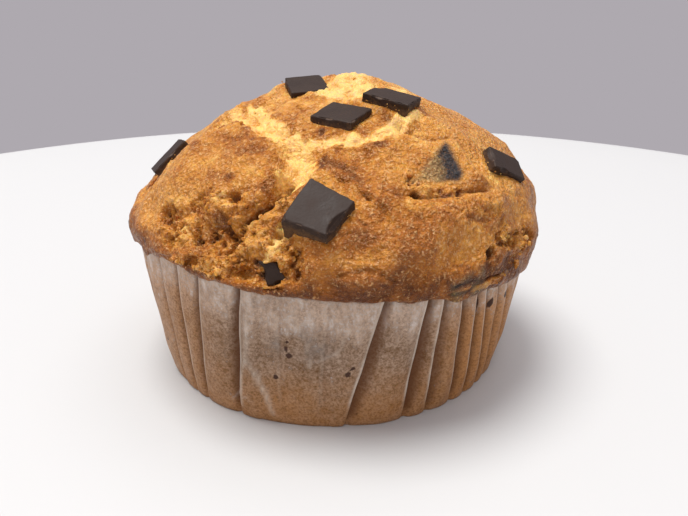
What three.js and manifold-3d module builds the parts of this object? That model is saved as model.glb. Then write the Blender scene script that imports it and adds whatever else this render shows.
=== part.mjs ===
// Chocolate chunk muffin in its pleated paper case. Millimetres, +Z up.
// The origin is the centre of the case's underside; the side with the two big crust lobes faces -Y.
import * as THREE from 'three';
import { mergeVertices } from 'three/addons/utils/BufferGeometryUtils.js';
import Module from 'manifold-3d';

const wasm = await Module();
wasm.setup();

// ---------------------------------------------------------------- driving sizes
const GAP = 0.3;              // clear space left between two touching pieces
const PAPER = 0.6;            // wall of the case with its doubled folds
const FOOT_R = 31.75;         // case radius just above the foot
const RIM_R = 35.2;           // case radius at the rim
const RIM_H = 20.9;           // mean rim height
const RIM_LEAN_X = -0.065;    // the rim is higher on the -X side
const RIM_LEAN_Y = -0.10;     // and higher in front
const RIM_CREST = 1.7;        // extra height at the front left
const RIM_CREST_AT = -137;    // degrees
const RIM_CREST_WIDTH = 22;   // degrees
const FOLD = 1.2;             // depth of a pleat's groove
const CROWN_R = 37.0;         // crust radius at its widest ring
const CROWN_Z = 25.8;         // height of the widest ring
const CROWN_H = 25.7;         // rise from the widest ring to the top
const CROWN_CREST = 2.6;      // the widest ring climbs to the left
const CROWN_CREST_AT = -155;  // degrees
const CROWN_CREST_WIDTH = 45; // degrees
const CROWN_CREST_FROM = 0.75; // reach where the climb begins
const CROWN_X = 0.6;          // the crown sits a little to +X
const TOP_X = 2.0;            // the top leans to +X
const TOP_Y = 3.1;            // and to the back
const CHART = 48;             // chart length from the top to the widest ring
const LIP_END = 1.16;         // reach of the lip's lower edge, in chart radii
const LIP_CLEAR = 0.5;        // the lip's lower edge hangs this far above the rim
const LIP_TUCK = 1.6;         // how far the lip turns back in

const rad = Math.PI / 180;
const clamp = (x, a, b) => Math.min(b, Math.max(a, x));
const smooth = (a, b, x) => {
  const t = clamp((x - a) / (b - a), 0, 1);
  return t * t * (3 - 2 * t);
};

// A bell over the heading: 1 in its middle, fading out over width degrees.
function crest(angle, at, width) {
  const off = ((angle / rad - at + 540) % 360) - 180;
  return Math.exp(-((off / width) ** 2));
}

function rimHeight(angle) {
  const back = Math.sin(angle) < 0 ? 1 : 0.6;
  return RIM_H + RIM_LEAN_X * RIM_R * Math.cos(angle)
    + RIM_LEAN_Y * RIM_R * Math.sin(angle) * back + RIM_CREST * crest(angle, RIM_CREST_AT, RIM_CREST_WIDTH);
}

// ---------------------------------------------------------------- crust form
// u and v are laid out from the top as a flat map: the distance from (0, 0) is the way
// along the crust, and the direction is the heading seen from above.
function plainCrust(u, v) {
  const reach = Math.min(Math.hypot(u, v) / CHART, LIP_END);
  const angle = Math.atan2(v, u);
  const t = Math.min(reach, 1);
  const g = Math.sin(t * Math.PI / 2);
  const lean = Math.cos(t * Math.PI / 2);
  let r = CROWN_R * g;
  let x = CROWN_X;
  const climb = CROWN_CREST * smooth(CROWN_CREST_FROM, 1, t);
  const widest = CROWN_Z + climb * crest(angle, CROWN_CREST_AT, CROWN_CREST_WIDTH);
  let z = widest + CROWN_H * Math.sqrt(Math.max(1 - g ** 1.325, 0));
  if (reach > 1) {
    const k = (reach - 1) / (LIP_END - 1);
    const edge = rimHeight(angle) + LIP_CLEAR;
    r = CROWN_R - LIP_TUCK * (1 - Math.sqrt(Math.max(1 - k * k, 0)));
    x = CROWN_X * (1 - k);
    z = widest + (edge - widest) * Math.sin(k * Math.PI / 2);
  }
  x += (TOP_X - CROWN_X) * lean + r * Math.cos(angle);
  return new THREE.Vector3(x, TOP_Y * lean + r * Math.sin(angle), z);
}

function crustNormal(u, v) {
  const d = 0.6;
  const a = plainCrust(u + d, v).sub(plainCrust(u - d, v));
  const b = plainCrust(u, v + d).sub(plainCrust(u, v - d));
  const normal = a.cross(b).normalize();
  const turn = smooth(0.98, 1.08, Math.hypot(u, v) / CHART);
  const flat = new THREE.Vector3(u, v, 0).normalize();
  return normal.lerp(flat, turn).normalize();
}

// Ledges: height, softness, how far the high side carries back, then the line. The high side is on
// the right of the line's direction.
const LEDGES = [
  [1.2, 1.0, 7, [-22, -10.5], [-15, -10], [-11, -16], [-8.1, -18.5], [-8.6, -24], [-10.3, -28], [-14, -31.6]],
  [0.9, 1.0, 5, [-12, -5.2], [-15, -5.4], [-18, -6.2], [-20.5, -7.4], [-23, -8.8]],
  [0.9, 1.0, 6, [2.8, -29], [0.3, -26.4], [-2.2, -24], [-3, -21.5], [-1, -19.6], [6, -18.5]],
  [0.6, 1.0, 6, [8, -29.6], [14, -28], [18, -26], [24, -23]],
];

// Nearest distance to a line, and whether the point lies left (+1) or right (-1) of it.
function lineSide(u, v, points) {
  let best = 1e9;
  let side = 1;
  for (let i = 1; i < points.length; i += 1) {
    const [ax, ay] = points[i - 1];
    const [bx, by] = points[i];
    const len2 = (bx - ax) ** 2 + (by - ay) ** 2;
    const t = clamp(((u - ax) * (bx - ax) + (v - ay) * (by - ay)) / len2, 0, 1);
    const d = Math.hypot(u - ax - t * (bx - ax), v - ay - t * (by - ay));
    if (d < best) {
      best = d;
      side = (bx - ax) * (v - ay) - (by - ay) * (u - ax) > 0 ? 1 : -1;
    }
  }
  return best * side;
}

// Swellings and hollows: u, v, long half length, short half length, turn in degrees, height.
const SWELLINGS = [
  [-21, -17, 13, 9, -25, 0.9],
  [-22, 6, 12, 7, 20, -0.2],
  [-12, 22, 12, 9, 20, 0.9],
  [17, -31, 12, 9, 20, 1.2],
  [3, -38, 13, 7, 0, 0.9],
  [16, -12, 12, 8, -30, 0.7],
  [30, 6, 11, 9, 70, 0.9],
  [12, 28, 13, 10, 10, 0.9],
  [-12, 34, 12, 8, -10, 0.8],
  [34, -20, 8, 6, 60, 0.6],
  [19, 4, 10, 7, -20, -0.8],
  [-24, -34, 14, 6, -33, -0.8],
  [36, -27, 7, 5, -30, -0.8],
  [1, -24, 7, 2.6, -45, -1.1],
  [-6, -24, 6, 4, -70, -0.7],
  [-8, -2, 10, 5, 10, -0.5],
  [-14, -43, 5, 4, 0, -1.5],
  [-29.5, -4, 9, 6.5, 0, -2.5],
];

// Cracks: half width, depth, then the corner points of the line.
const CRACKS = [
  [1.3, 1.5, [-17, -33], [-13.6, -31.7], [-10, -29], [-8, -26.5], [-5, -21]],
  [1.1, 0.8, [9, -29.5], [14, -28], [18, -26], [23, -23.5]],
  [1.5, 0.8, [-24, -8], [-18, -8.6], [-13, -9.5], [-10, -16], [-7, -20]],
  [1.6, 1.3, [-30, 16], [-20, 22], [-8, 22], [2, 28], [8, 36]],
  [1.5, 1.1, [16, 8], [24, 16], [26, 28]],
];

function lineDistance(u, v, points) {
  let best = 1e9;
  for (let i = 1; i < points.length; i += 1) {
    const [ax, ay] = points[i - 1];
    const [bx, by] = points[i];
    const len2 = (bx - ax) ** 2 + (by - ay) ** 2;
    const t = clamp(((u - ax) * (bx - ax) + (v - ay) * (by - ay)) / len2, 0, 1);
    best = Math.min(best, Math.hypot(u - ax - t * (bx - ax), v - ay - t * (by - ay)));
  }
  return best;
}

function relief(u, v) {
  let h = 0;
  for (const [cu, cv, along, across, turn, height] of SWELLINGS) {
    const c = Math.cos(turn * rad);
    const s = Math.sin(turn * rad);
    const p = ((u - cu) * c + (v - cv) * s) / along;
    const q = (-(u - cu) * s + (v - cv) * c) / across;
    h += height * Math.exp(-(p * p + q * q));
  }
  for (const [half, depth, ...points] of CRACKS) {
    const d = lineDistance(u, v, points) / half;
    h -= depth * Math.exp(-d * d);
  }
  for (const [height, soft, carry, ...points] of LEDGES) {
    const d = lineSide(u, v, points);
    h += height * (1 - smooth(-soft, soft, d)) * Math.exp(-((Math.max(-d, 0) / carry) ** 2));
  }
  h += 0.28 * Math.sin(0.31 * u + 0.9) * Math.sin(0.27 * v + 2.1);
  h += 0.22 * Math.sin(0.47 * u - 0.38 * v + 0.4);
  h += 0.16 * Math.sin(0.22 * u + 0.71 * v + 1.3);
  const reach = Math.hypot(u, v) / CHART;
  return h * (1 - 0.5 * smooth(1.04, LIP_END, reach));
}

function crust(u, v) {
  return plainCrust(u, v).addScaledVector(crustNormal(u, v), relief(u, v));
}

// ---------------------------------------------------------------- meshes from rings
// rings: arrays of points of equal length, running counterclockwise seen from above.
// The first and last entries are single points that close the ends.
function closedRings(rings, outward) {
  const first = rings[0];
  const last = rings[rings.length - 1];
  const bands = rings.slice(1, -1);
  const n = bands[0].length;
  const verts = [first, ...bands.flat(), last];
  const at = (i, j) => 1 + i * n + (j % n);
  const faces = [];
  const add = (a, b, c) => faces.push(...(outward ? [a, b, c] : [a, c, b]));
  for (let j = 0; j < n; j += 1) {
    add(0, at(0, j), at(0, j + 1));
    for (let i = 0; i + 1 < bands.length; i += 1) {
      add(at(i, j), at(i + 1, j), at(i + 1, j + 1));
      add(at(i, j), at(i + 1, j + 1), at(i, j + 1));
    }
    add(at(bands.length - 1, j), verts.length - 1, at(bands.length - 1, j + 1));
  }
  const geometry = new THREE.BufferGeometry();
  geometry.setAttribute('position', new THREE.Float32BufferAttribute(verts.flatMap((p) => p.toArray()), 3));
  geometry.setIndex(faces);
  return geometry;
}

// ---------------------------------------------------------------- paper case
// Fold lines: heading in degrees at the rim and at the foot, then depth as a share of FOLD.
// The front panel between -113.4 and -77.3 is broad, its pleats pressed nearly flat; the hidden side
// has even pleats.
const FOLDS = [
  [-155, -161, 0.8], [-143.3, -145.6, 0.8], [-134.4, -138.4, 0.8], [-126.4, -133, 0.8],
  [-113.4, -119.2, 1], [-103, -105, 0.12], [-91, -94, 0.12], [-77.3, -86.8, 0.9], [-65.9, -69.6, 1],
  [-61.4, -61.9, 0.9], [-55, -52, 1], [-49.7, -45.1, 1], [-45.7, -37.7, 1], [-39.4, -32.3, 0.9],
  [-33, -23, 1],
];
const EVEN_FROM = -25;
const EVEN_TO = 197;
const EVEN_COUNT = 28;
for (let i = 0; i < EVEN_COUNT; i += 1) {
  const a = EVEN_FROM + (EVEN_TO - EVEN_FROM) * i / (EVEN_COUNT - 1);
  const sway = 0.9 * Math.sin(2.3 * i) + 0.7 * Math.sin(5.1 * i + 1);
  FOLDS.push([a + sway, a + 4 * (1 - i / EVEN_COUNT) + 0.6 * sway, 1]);
}
const PANEL_STEPS = [[0, -1], [0.16, -0.35], [0.5, 0], [0.86, 0.15]];

function casePoint(fold, step, share, height, inset) {
  const here = FOLDS[fold];
  const next = FOLDS[(fold + 1) % FOLDS.length];
  const wrap = fold + 1 === FOLDS.length ? 360 : 0;
  const [x, swing] = PANEL_STEPS[step];
  const rim = here[0] + (next[0] + wrap - here[0]) * x;
  const foot = here[1] + (next[1] + wrap - here[1]) * x;
  const angle = (foot + (rim - foot) * share) * rad;
  const depth = FOLD * here[2] * (0.45 + 0.55 * smooth(0, 0.3, share));
  const r = FOOT_R + (RIM_R - FOOT_R) * share + swing * depth - inset;
  return new THREE.Vector3(r * Math.cos(angle), r * Math.sin(angle), height(angle));
}

function caseRing(share, lift, inset) {
  const ring = [];
  for (let fold = 0; fold < FOLDS.length; fold += 1) {
    for (let step = 0; step < PANEL_STEPS.length; step += 1) {
      ring.push(casePoint(fold, step, share, (a) => lift + share * rimHeight(a), inset));
    }
  }
  return ring;
}

function paperCase() {
  const rings = [
    new THREE.Vector3(0, 0, 0),
    caseRing(0, 0, 0.15),
    caseRing(0.04, 0, 0),
    caseRing(0.3, 0, -0.25),
    caseRing(0.68, 0, -0.25),
    caseRing(1, -0.25, 0),
    caseRing(1, 0, PAPER / 2),
    caseRing(1, -0.25, PAPER),
    caseRing(0.5, 0, PAPER - 0.2),
    caseRing(0.06, 0.2, PAPER + 0.1),
    caseRing(0, PAPER, 0.4 + PAPER),
    new THREE.Vector3(0, 0, PAPER),
  ];
  return closedRings(rings, false);
}

// ---------------------------------------------------------------- cake body
const CAKE_COLUMNS = 84;
const CAKE_ROWS = [0.05, 0.11, 0.17, 0.23, 0.29, 0.35, 0.41, 0.47, 0.53, 0.59, 0.65, 0.71, 0.77, 0.83,
  0.89, 0.95, 1.0, 1.05, 1.09, 1.13, LIP_END];

function wallRadius(share) {
  return FOOT_R + (RIM_R - FOOT_R) * share - FOLD - PAPER - GAP;
}

function cakeWall(share, radius, height) {
  const ring = [];
  for (let j = 0; j < CAKE_COLUMNS; j += 1) {
    const a = 2 * Math.PI * j / CAKE_COLUMNS;
    const z = height ?? share * rimHeight(a);
    ring.push(new THREE.Vector3(radius * Math.cos(a), radius * Math.sin(a), z));
  }
  return ring;
}

function cakeBody() {
  const rings = [crust(0, 0)];
  for (const reach of CAKE_ROWS) {
    const ring = [];
    for (let j = 0; j < CAKE_COLUMNS; j += 1) {
      const a = 2 * Math.PI * j / CAKE_COLUMNS;
      ring.push(crust(CHART * reach * Math.cos(a), CHART * reach * Math.sin(a)));
    }
    rings.push(ring);
  }
  const under = cakeWall(1, wallRadius(1));
  for (const p of under) {
    p.z += LIP_CLEAR;
  }
  rings.push(under);
  rings.push(cakeWall(0.5, wallRadius(0.5)));
  rings.push(cakeWall(0.1, wallRadius(0.1)));
  rings.push(cakeWall(0, wallRadius(0) - 1.8, PAPER + GAP));
  rings.push(new THREE.Vector3(0, 0, PAPER + GAP));
  return closedRings(rings, true);
}

// ---------------------------------------------------------------- chocolate chunks
// u, v of the seat, turn and two tilts in degrees, length, width, thickness, height of the top face
// over the crust.
const CHUNKS = {
  chunk_top_left: [-5.3, -3.4, 16, 10, 14, 7.2, 7.0, 3.8, 1.1],
  chunk_top_middle: [-0.3, -13.9, -32, -9, -8, 7.5, 6.8, 3.8, 1.3],
  chunk_top_right: [6.5, -10.2, -29, -8, -8, 8.1, 6.2, 3.8, 1.5],
  chunk_far_left: [-32.2, 1.6, 18, 9, 0, 8.0, 7.0, 3.8, 1.4],
  chunk_front: [-3.2, -32.4, -38, -7, -4, 8.2, 6.8, 4.0, 2.0],
  chunk_far_right: [25.8, -14.7, 13, 0, 2, 8.8, 5.6, 3.8, 1.4],
  chunk_behind_top: [3.9, 9.4, 24, 0, 0, 7.4, 7.0, 3.6, 0.5],
  chunk_under_film: [15.2, -22, 34, 0, -13, 6.8, 6.8, 4.0, 0.3],
  chunk_by_paper: [-12.0, -43.4, 10, 0, 0, 3.4, 4.4, 2.0, 0.5],
  chunk_low_right: [26, -42.2, 12, 0, 0, 5.4, 3.2, 2.4, 0.4],
};

// A broken block: eight corners a little out of true, with the upper edges taken off.
function chunkGeometry(key, length, width, thick, grow) {
  const seed = [...key].reduce((s, ch) => (s * 31 + ch.charCodeAt(0)) % 997, 7);
  const wobble = (i) => 0.28 * Math.sin(seed * 1.7 + i * 2.9);
  const ring = (inset, z, tag) => [[-1, -1], [1, -1], [1, 1], [-1, 1]].map(([sx, sy], i) => new THREE.Vector3(
    sx * (length / 2 - inset + grow) + wobble(i + tag),
    sy * (width / 2 - inset + grow) + wobble(i + tag + 9),
    z,
  ));
  const top = ring(0.45, grow, 0);
  const shoulder = ring(0, -0.45 + grow, 0);
  const base = ring(0.2, -thick - grow, 4);
  const middle = (pts) => pts.reduce((s, p) => s.add(p), new THREE.Vector3()).multiplyScalar(1 / pts.length);
  return closedRings([middle(top), top, shoulder, base, middle(base)], true);
}

function chunkPlace([u, v, turn, tiltX, tiltY, , , , lift]) {
  const up = crustNormal(u, v);
  const side = new THREE.Vector3(1, 0, 0).addScaledVector(up, -up.x).normalize();
  const far = up.clone().cross(side);
  const matrix = new THREE.Matrix4().makeBasis(side, far, up);
  matrix.multiply(new THREE.Matrix4().makeRotationZ(turn * rad));
  matrix.multiply(new THREE.Matrix4().makeRotationX(tiltX * rad));
  matrix.multiply(new THREE.Matrix4().makeRotationY(tiltY * rad));
  matrix.setPosition(crust(u, v).addScaledVector(up, lift));
  return matrix;
}

// ---------------------------------------------------------------- booleans
function toSolid(geometry) {
  const bare = geometry.clone();
  bare.deleteAttribute('normal');
  bare.deleteAttribute('uv');
  const merged = mergeVertices(bare, 1e-4);
  return new wasm.Manifold(new wasm.Mesh({
    numProp: 3,
    vertProperties: new Float32Array(merged.attributes.position.array),
    triVerts: new Uint32Array(merged.index.array),
  }));
}

function toGeometry(solid) {
  const mesh = solid.getMesh();
  const geometry = new THREE.BufferGeometry();
  geometry.setAttribute('position', new THREE.BufferAttribute(new Float32Array(mesh.vertProperties), 3));
  geometry.setIndex(Array.from(mesh.triVerts));
  return geometry;
}

// ---------------------------------------------------------------- assembly
const muffin = new THREE.Group();
const finish = (color, roughness) => new THREE.MeshStandardMaterial({ color, roughness, metalness: 0 });
const chocolate = finish(0x2e211d, 0.5);

function place(name, geometry, material, matrix) {
  const flat = geometry.index ? geometry.toNonIndexed() : geometry;
  flat.computeVertexNormals();
  const mesh = new THREE.Mesh(flat, material);
  mesh.name = name;
  if (matrix) {
    matrix.decompose(mesh.position, mesh.quaternion, mesh.scale);
  }
  muffin.add(mesh);
}

let cake = toSolid(cakeBody());
for (const [name, spec] of Object.entries(CHUNKS)) {
  const [, , , , , length, width, thick] = spec;
  const matrix = chunkPlace(spec);
  cake = cake.subtract(toSolid(chunkGeometry(name, length, width, thick, GAP).applyMatrix4(matrix)));
  place(name, chunkGeometry(name, length, width, thick, 0), chocolate, matrix);
}
place('cake', toGeometry(cake), finish(0xc08238, 0.85));
place('paper_case', paperCase(), finish(0xb59a80, 0.7));

export default muffin;
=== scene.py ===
"""Chocolate chunk muffin in a pleated greaseproof case, dressed over its solid model."""

import bpy
import numpy as np
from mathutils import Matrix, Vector


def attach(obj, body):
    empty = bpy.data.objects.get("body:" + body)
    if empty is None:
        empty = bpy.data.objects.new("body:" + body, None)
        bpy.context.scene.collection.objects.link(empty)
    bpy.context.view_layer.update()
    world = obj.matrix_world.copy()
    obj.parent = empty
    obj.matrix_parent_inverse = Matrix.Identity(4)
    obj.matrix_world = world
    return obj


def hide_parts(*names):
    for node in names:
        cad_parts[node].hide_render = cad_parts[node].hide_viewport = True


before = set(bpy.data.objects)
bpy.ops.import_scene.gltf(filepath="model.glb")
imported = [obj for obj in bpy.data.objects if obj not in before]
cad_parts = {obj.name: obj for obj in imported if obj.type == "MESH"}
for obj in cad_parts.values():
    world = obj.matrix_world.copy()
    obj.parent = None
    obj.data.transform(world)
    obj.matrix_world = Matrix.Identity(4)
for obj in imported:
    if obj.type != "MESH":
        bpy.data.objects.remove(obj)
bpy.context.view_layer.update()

bl_info = {
    "name": "Chocolate Chunk Muffin",
    "version": (1, 0, 0),
    "blender": (4, 5, 0),
    "location": "View3D > Sidebar > Muffin",
    "description": "Builds a domed muffin with chocolate chunks in a pleated paper case",
    "category": "Add Mesh",
}

MM = 0.001
BODY = "root"

# ---------------------------------------------------------------- sizes, in millimetres
# Rim of the case: how far it leans along X and Y as a share of its radius, and the height, the heading
# and the width in degrees of the low crest on it.
RIM_LEAN_X, RIM_LEAN_Y = -0.065, -0.10
RIM_CREST, RIM_CREST_AT, RIM_CREST_WIDTH = 1.7, -137.0, 22.0
# Depth of a fold, thickness of the wall, and the case's mean radius and height, on which creases and
# stains are measured.
FOLD, PAPER_WALL = 1.2, 0.35
CASE_R, CASE_H = 34.0, 23.0
# Heading that faces the camera: towards the sides away from it the paper is made lighter and warmer, with
# less of the soaked tone and more of the greasy tone.
FACING = -92
# Dome: radius and level of its widest ring, height over that, how steep its shoulder is, and where
# the middles of the ring and of the top lie.
CROWN_R, CROWN_Z, CROWN_H, CROWN_POWER = 37.0, 25.8, 25.7, 1.325
CROWN_X, TOP_X, TOP_Y = 0.6, 2.0, 3.1
# Where the widest ring rises: height, heading, width in degrees, and the reach from which it does.
CROWN_CREST, CROWN_CREST_AT, CROWN_CREST_WIDTH, CROWN_CREST_FROM = 2.6, -155.0, 45.0, 0.75
# The crust is laid out on a flat chart, u and v from the top, whose reach 1 is the widest ring. The
# lip ends past it, a little over the rim, and turns in as far as LIP_TUCK.
CHART, LIP_END, LIP_CLEAR, LIP_TUCK = 48.0, 1.16, 0.5, 1.6
# How far the crust's grid is drawn towards -v, as a share of its reach, and how often its heights are
# averaged to find the hollows.
GRID_DRAW, HOLLOW_ROUNDS = 0.2, 10
# Rings of the cake's hidden wall: share of the rim's height, height over that, distance inside the
# case. The last lies in the cake's floor.
WALL_FLOOR = 0.9
WALL_RINGS = ((1.0, LIP_CLEAR, 2.1), (0.5, 0, 2.1), (0.1, 0, 2.1), (0, WALL_FLOOR, 3.9))
CRUST_NAME = "baked sponge crust"

# Swellings and hollows: u, v, half length along, half length across, turn, height.
SWELLINGS = (
    (-21, -17, 13, 9, -25, 0.9), (-22, 6, 12, 7, 20, -0.2), (-12, 22, 12, 9, 20, 0.9),
    (17, -31, 12, 9, 20, 1.2), (3, -38, 13, 7, 0, 0.9), (16, -12, 12, 8, -30, 0.7),
    (30, 6, 11, 9, 70, 0.9), (12, 28, 13, 10, 10, 0.9), (-12, 34, 12, 8, -10, 0.8),
    (34, -20, 8, 6, 60, 0.6), (19, 4, 10, 7, -20, -0.8), (-24, -34, 14, 6, -33, -0.8),
    (36, -27, 7, 5, -30, -0.8), (1, -24, 7, 2.6, -45, -1.1), (-6, -24, 6, 4, -70, -0.7),
    (-8, -2, 10, 5, 10, -0.5), (-14, -43, 5, 4, 0, -1.5), (-29.5, -4, 9, 6.5, 0, -2.5),
)

# Cracks: half width, depth, corner points.
CRACKS = (
    (1.3, 1.5, ((-17, -33), (-13.6, -31.7), (-10, -29), (-8, -26.5), (-5, -21))),
    (1.1, 0.8, ((9, -29.5), (14, -28), (18, -26), (23, -23.5))),
    (1.5, 0.8, ((-24, -8), (-18, -8.6), (-13, -9.5), (-10, -16), (-7, -20))),
    (1.6, 1.3, ((-30, 16), (-20, 22), (-8, 22), (2, 28), (8, 36))),
    (1.5, 1.1, ((16, 8), (24, 16), (26, 28))),
)

# Ledges: height, softness, how far the high side carries back, corner points. The high side is on
# the right of the line's direction.
LEDGES = (
    (1.2, 1.0, 7, ((-22, -10.5), (-15, -10), (-11, -16), (-8.1, -18.5), (-8.6, -24), (-10.3, -28),
                   (-14, -31.6))),
    (0.9, 1.0, 5, ((-12, -5.2), (-15, -5.4), (-18, -6.2), (-20.5, -7.4), (-23, -8.8))),
    (0.9, 1.0, 6, ((2.8, -29), (0.3, -26.4), (-2.2, -24), (-3, -21.5), (-1, -19.6), (6, -18.5))),
    (0.6, 1.0, 6, ((8, -29.6), (14, -28), (18, -26), (24, -23))),
)

# Fine cracks that only the dressed crust has: half width, depth, corner points.
FINE_CRACKS = (
    (0.35, 1.0, ((-15.5, -32.3), (-13.4, -31.4), (-10.6, -29.4), (-8.6, -27.8), (-7.6, -25.6))),
    (0.32, 0.5, ((9.6, -28.8), (11.4, -29.0), (15, -27.6), (18.5, -25.6), (22.4, -23.6))),
    (0.5, 0.3, ((-2.4, -22.4), (-1.2, -23.6), (1, -25.6), (2.6, -27.6))),
    (0.25, 0.45, ((4, -12.5), (8, -16), (12, -17.2), (15, -15.4))),
    (0.45, 0.25, ((0, -44.3), (3, -43.2), (6, -43), (9.8, -44.4))),
    (0.4, 0.22, ((19.2, -30.6), (21.4, -30.4), (23.6, -29.2))),
    (0.8, 1.3, ((22.0, -43.4), (23.8, -41.8), (25.8, -40.3), (28.6, -39.6))),
    (0.7, 1.2, ((23.4, -45.6), (25.4, -44.5), (27, -43.2), (27.2, -41.2), (28.6, -39.6))),
    (0.25, 0.8, ((28.6, -39.6), (31, -38), (33, -36.4))),
    (0.4, 0.8, ((-30, 16), (-24, 20.4), (-17, 21.4), (-9, 22.2), (-3, 25), (2, 28.4), (7, 35))),
    (0.35, 0.7, ((16, 8.4), (20, 11), (24, 16.4), (25, 22), (26, 28))),
)

# Open pale crumb where the dome split: half width, corner points.
OPEN_CRUMB = (
    (2.6, ((-20.6, -8.6), (-17, -8.0), (-13.6, -7.6))),
    (2.0, ((-13.6, -7.4), (-12, -11.4), (-10.2, -15.4), (-8.2, -17))),
    (2.2, ((-7.2, -17.6), (-6.4, -20.4), (-5.8, -22.6), (-6.4, -24.8), (-7.6, -26.4))),
    (1.1, ((-5.4, -18.2), (-3, -19), (0, -19.6))),
    (1.3, ((10.2, -12.4), (7.4, -15.4), (5, -18.4), (1, -20.2))),
    (2.8, ((-2, -6), (0.7, -7), (2.6, -4.7), (1.3, 0.6))),
    (1.3, ((-12, -40), (-9.6, -37.4), (-8.6, -34.8))),
    (2.2, ((-16, 20), (-9, 22), (-2, 26))),
)

# Browner and paler spots of the crust: u, v, radius, change of the bake level.
BROWNED = (
    (-1.2, -23.4, 1.8, 0.32), (0.9, -25.4, 2.0, 0.38), (-3.4, -23.4, 1.2, 0.25), (2, -22, 3, 0.12),
    (-9, -5, 3, 0.15), (-24, -16, 7, 0.04), (-33, -20, 7, -0.12), (20, -36, 8, -0.08),
    (5, -42, 12, 0.10), (-20, -30, 6, 0.06), (-16, -24, 0.8, 0.5), (18, -25, 5, 0.05),
    (-9.4, -18, 1.6, 0.2), (-21, -4.4, 2.6, 0.3), (-14.6, 0.6, 2.6, 0.22), (-6.6, -13.6, 2.6, 0.16),
    (-18.4, -28, 2.4, 0.25), (33, -36.6, 4, 0.16), (29.6, -40.4, 3, 0.25), (36, -10, 6, 0.14),
    (24, -8, 9, 0.02), (8, -24, 6, 0.12), (8, -36, 8, 0.08), (-26, -39, 5, 0.2),
    # the two paler spots at (1.7, -41.9) and (7.2, -40.7) are a painted highlight on the bulge above the
    # front crease
    (1.7, -41.9, 2.2, -0.2), (7.2, -40.7, 2.4, -0.2), (31, -24, 8, 0.10), (4, -49, 14, 0.10),
    (-21, -14, 2.2, 0.2), (-17, -19, 1.6, 0.22), (-19, -22, 1.4, 0.2),
)

# Torn, crumbly crust: half width, corner points.
TORN = (
    (4.5, ((-28.5, -27.8), (-24, -31), (-18, -34.5), (-13, -38.5), (-10, -42))),
    (2.3, ((-29.5, -24), (-31, -29), (-31, -35.5))),
    (2.6, ((-22, -26), (-14, -30), (-9.6, -31))),
    (3.0, ((-27, -38), (-20, -42), (-13, -44))),
    (2.4, ((28.4, -30), (33, -27.6), (37.4, -24.6))),
    (1.1, ((9.4, -26.8), (12, -27.8), (17, -26.6))),
    (1.5, ((-8.6, -30), (-7.4, -33.4), (-9, -36))),
    (1.3, ((26, -43.4), (30, -40.6), (36, -35.6))),
)

# Rugged crust, full of small brown and golden crags: half width, corner points.
RUGGED = (
    (6.5, ((-13, -3), (-4, -4), (5, -5))),
    (7.5, ((-2, -10), (3, -16), (0, -22))),
    (3.2, ((-17, -12.5), (-12.5, -17), (-10.6, -23), (-13, -29))),
    (3.0, ((-22, -4), (-15, -1))),
    (2.6, ((10, -31), (19, -29), (26, -27.5), (33, -31))),
    (3.2, ((22, -41), (30, -37), (36, -31))),
    (3.0, ((-3, -22), (1, -25), (4, -28))),
)

# Holes: u, v, radius, depth.
HOLES = (
    (10.5, -28.7, 0.8, 2.0), (-2.9, -17.1, 0.5, 0.8), (-18.4, -30.9, 1.5, 0.8), (-20.6, -32.4, 1.1, 0.7),
    (-14.2, -39.6, 1.6, 1.1), (-24.6, -32.8, 1.1, 0.6), (-30.4, -24.3, 0.9, 0.8), (-8.6, -28.0, 1.1, 1.2),
    (-10.4, -30.2, 0.9, 0.9), (26.6, -34.4, 1.2, 1.5), (33.8, -25.8, 0.5, 0.8),
    (-13.9, -43.8, 1.3, 1.2), (-12.2, -45.4, 1.1, 0.8),
)

# Chunks: u, v of the seat, turn, two tilts, length, width, thickness, lift of the top face.
CHUNKS = {
    "chunk_top_left": (-5.3, -3.4, 16, 10, 14, 7.2, 7.0, 3.8, 1.1),
    "chunk_top_middle": (-0.3, -13.9, -32, -9, -8, 7.5, 6.8, 3.8, 1.3),
    "chunk_top_right": (6.5, -10.2, -29, -8, -8, 8.1, 6.2, 3.8, 1.5),
    "chunk_far_left": (-32.2, 1.6, 18, 9, 0, 8.0, 7.0, 3.8, 1.4),
    "chunk_front": (-3.2, -32.4, -38, -7, -4, 8.2, 6.8, 4.0, 2.0),
    "chunk_far_right": (25.8, -14.7, 13, 0, 2, 8.8, 5.6, 3.8, 1.4),
    "chunk_behind_top": (3.9, 9.4, 24, 0, 0, 7.4, 7.0, 3.6, 0.5),
    "chunk_under_film": (15.2, -22, 34, 0, -13, 6.8, 6.8, 4.0, 0.3),
    "chunk_by_paper": (-12.0, -43.4, 10, 0, 0, 3.4, 4.4, 2.0, 0.5),
    "chunk_low_right": (26, -42.2, 12, 0, 0, 5.4, 3.2, 2.4, 0.4),
}
COVERED = ("chunk_under_film", "chunk_low_right")
# How the crust meets a chunk: how far above and below it is reached, how deep it drops under the top
# face, how far inside the outline that starts, and how thick a film lies over a covered chunk.
SEAT_REACH, SEAT_DROP, SEAT_EDGE, FILM_THICK = 6, 1.2, 0.35, 0.12
# Outline of the film over a covered chunk, which darkens towards its right side: corner points, clockwise.
FILM_CORNERS = ((14.3, -17.2), (17.6, -22.6), (17.2, -24.4), (9.4, -26.6))

# Points along each side of a chunk, and the radius of its edges.
CHUNK_GRID, CHUNK_ROUND = 40, 0.26

# Corners of chunks out of square: which end along, which end across, pull along, pull across.
CORNERS = {
    "chunk_front": ((-1, -1, 1.2, -1.5), (1, 1, -0.3, 0.3)),
    "chunk_top_left": ((-1, 1, 0.5, -0.3),),
    "chunk_far_right": ((-1, 1, 0.9, -0.5), (1, -1, -0.8, 0.4)),
    "chunk_by_paper": ((-1, -1, 0.7, 0.5), (1, 1, -1.0, -0.2), (1, -1, 0.4, 0.6)),
}

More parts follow.
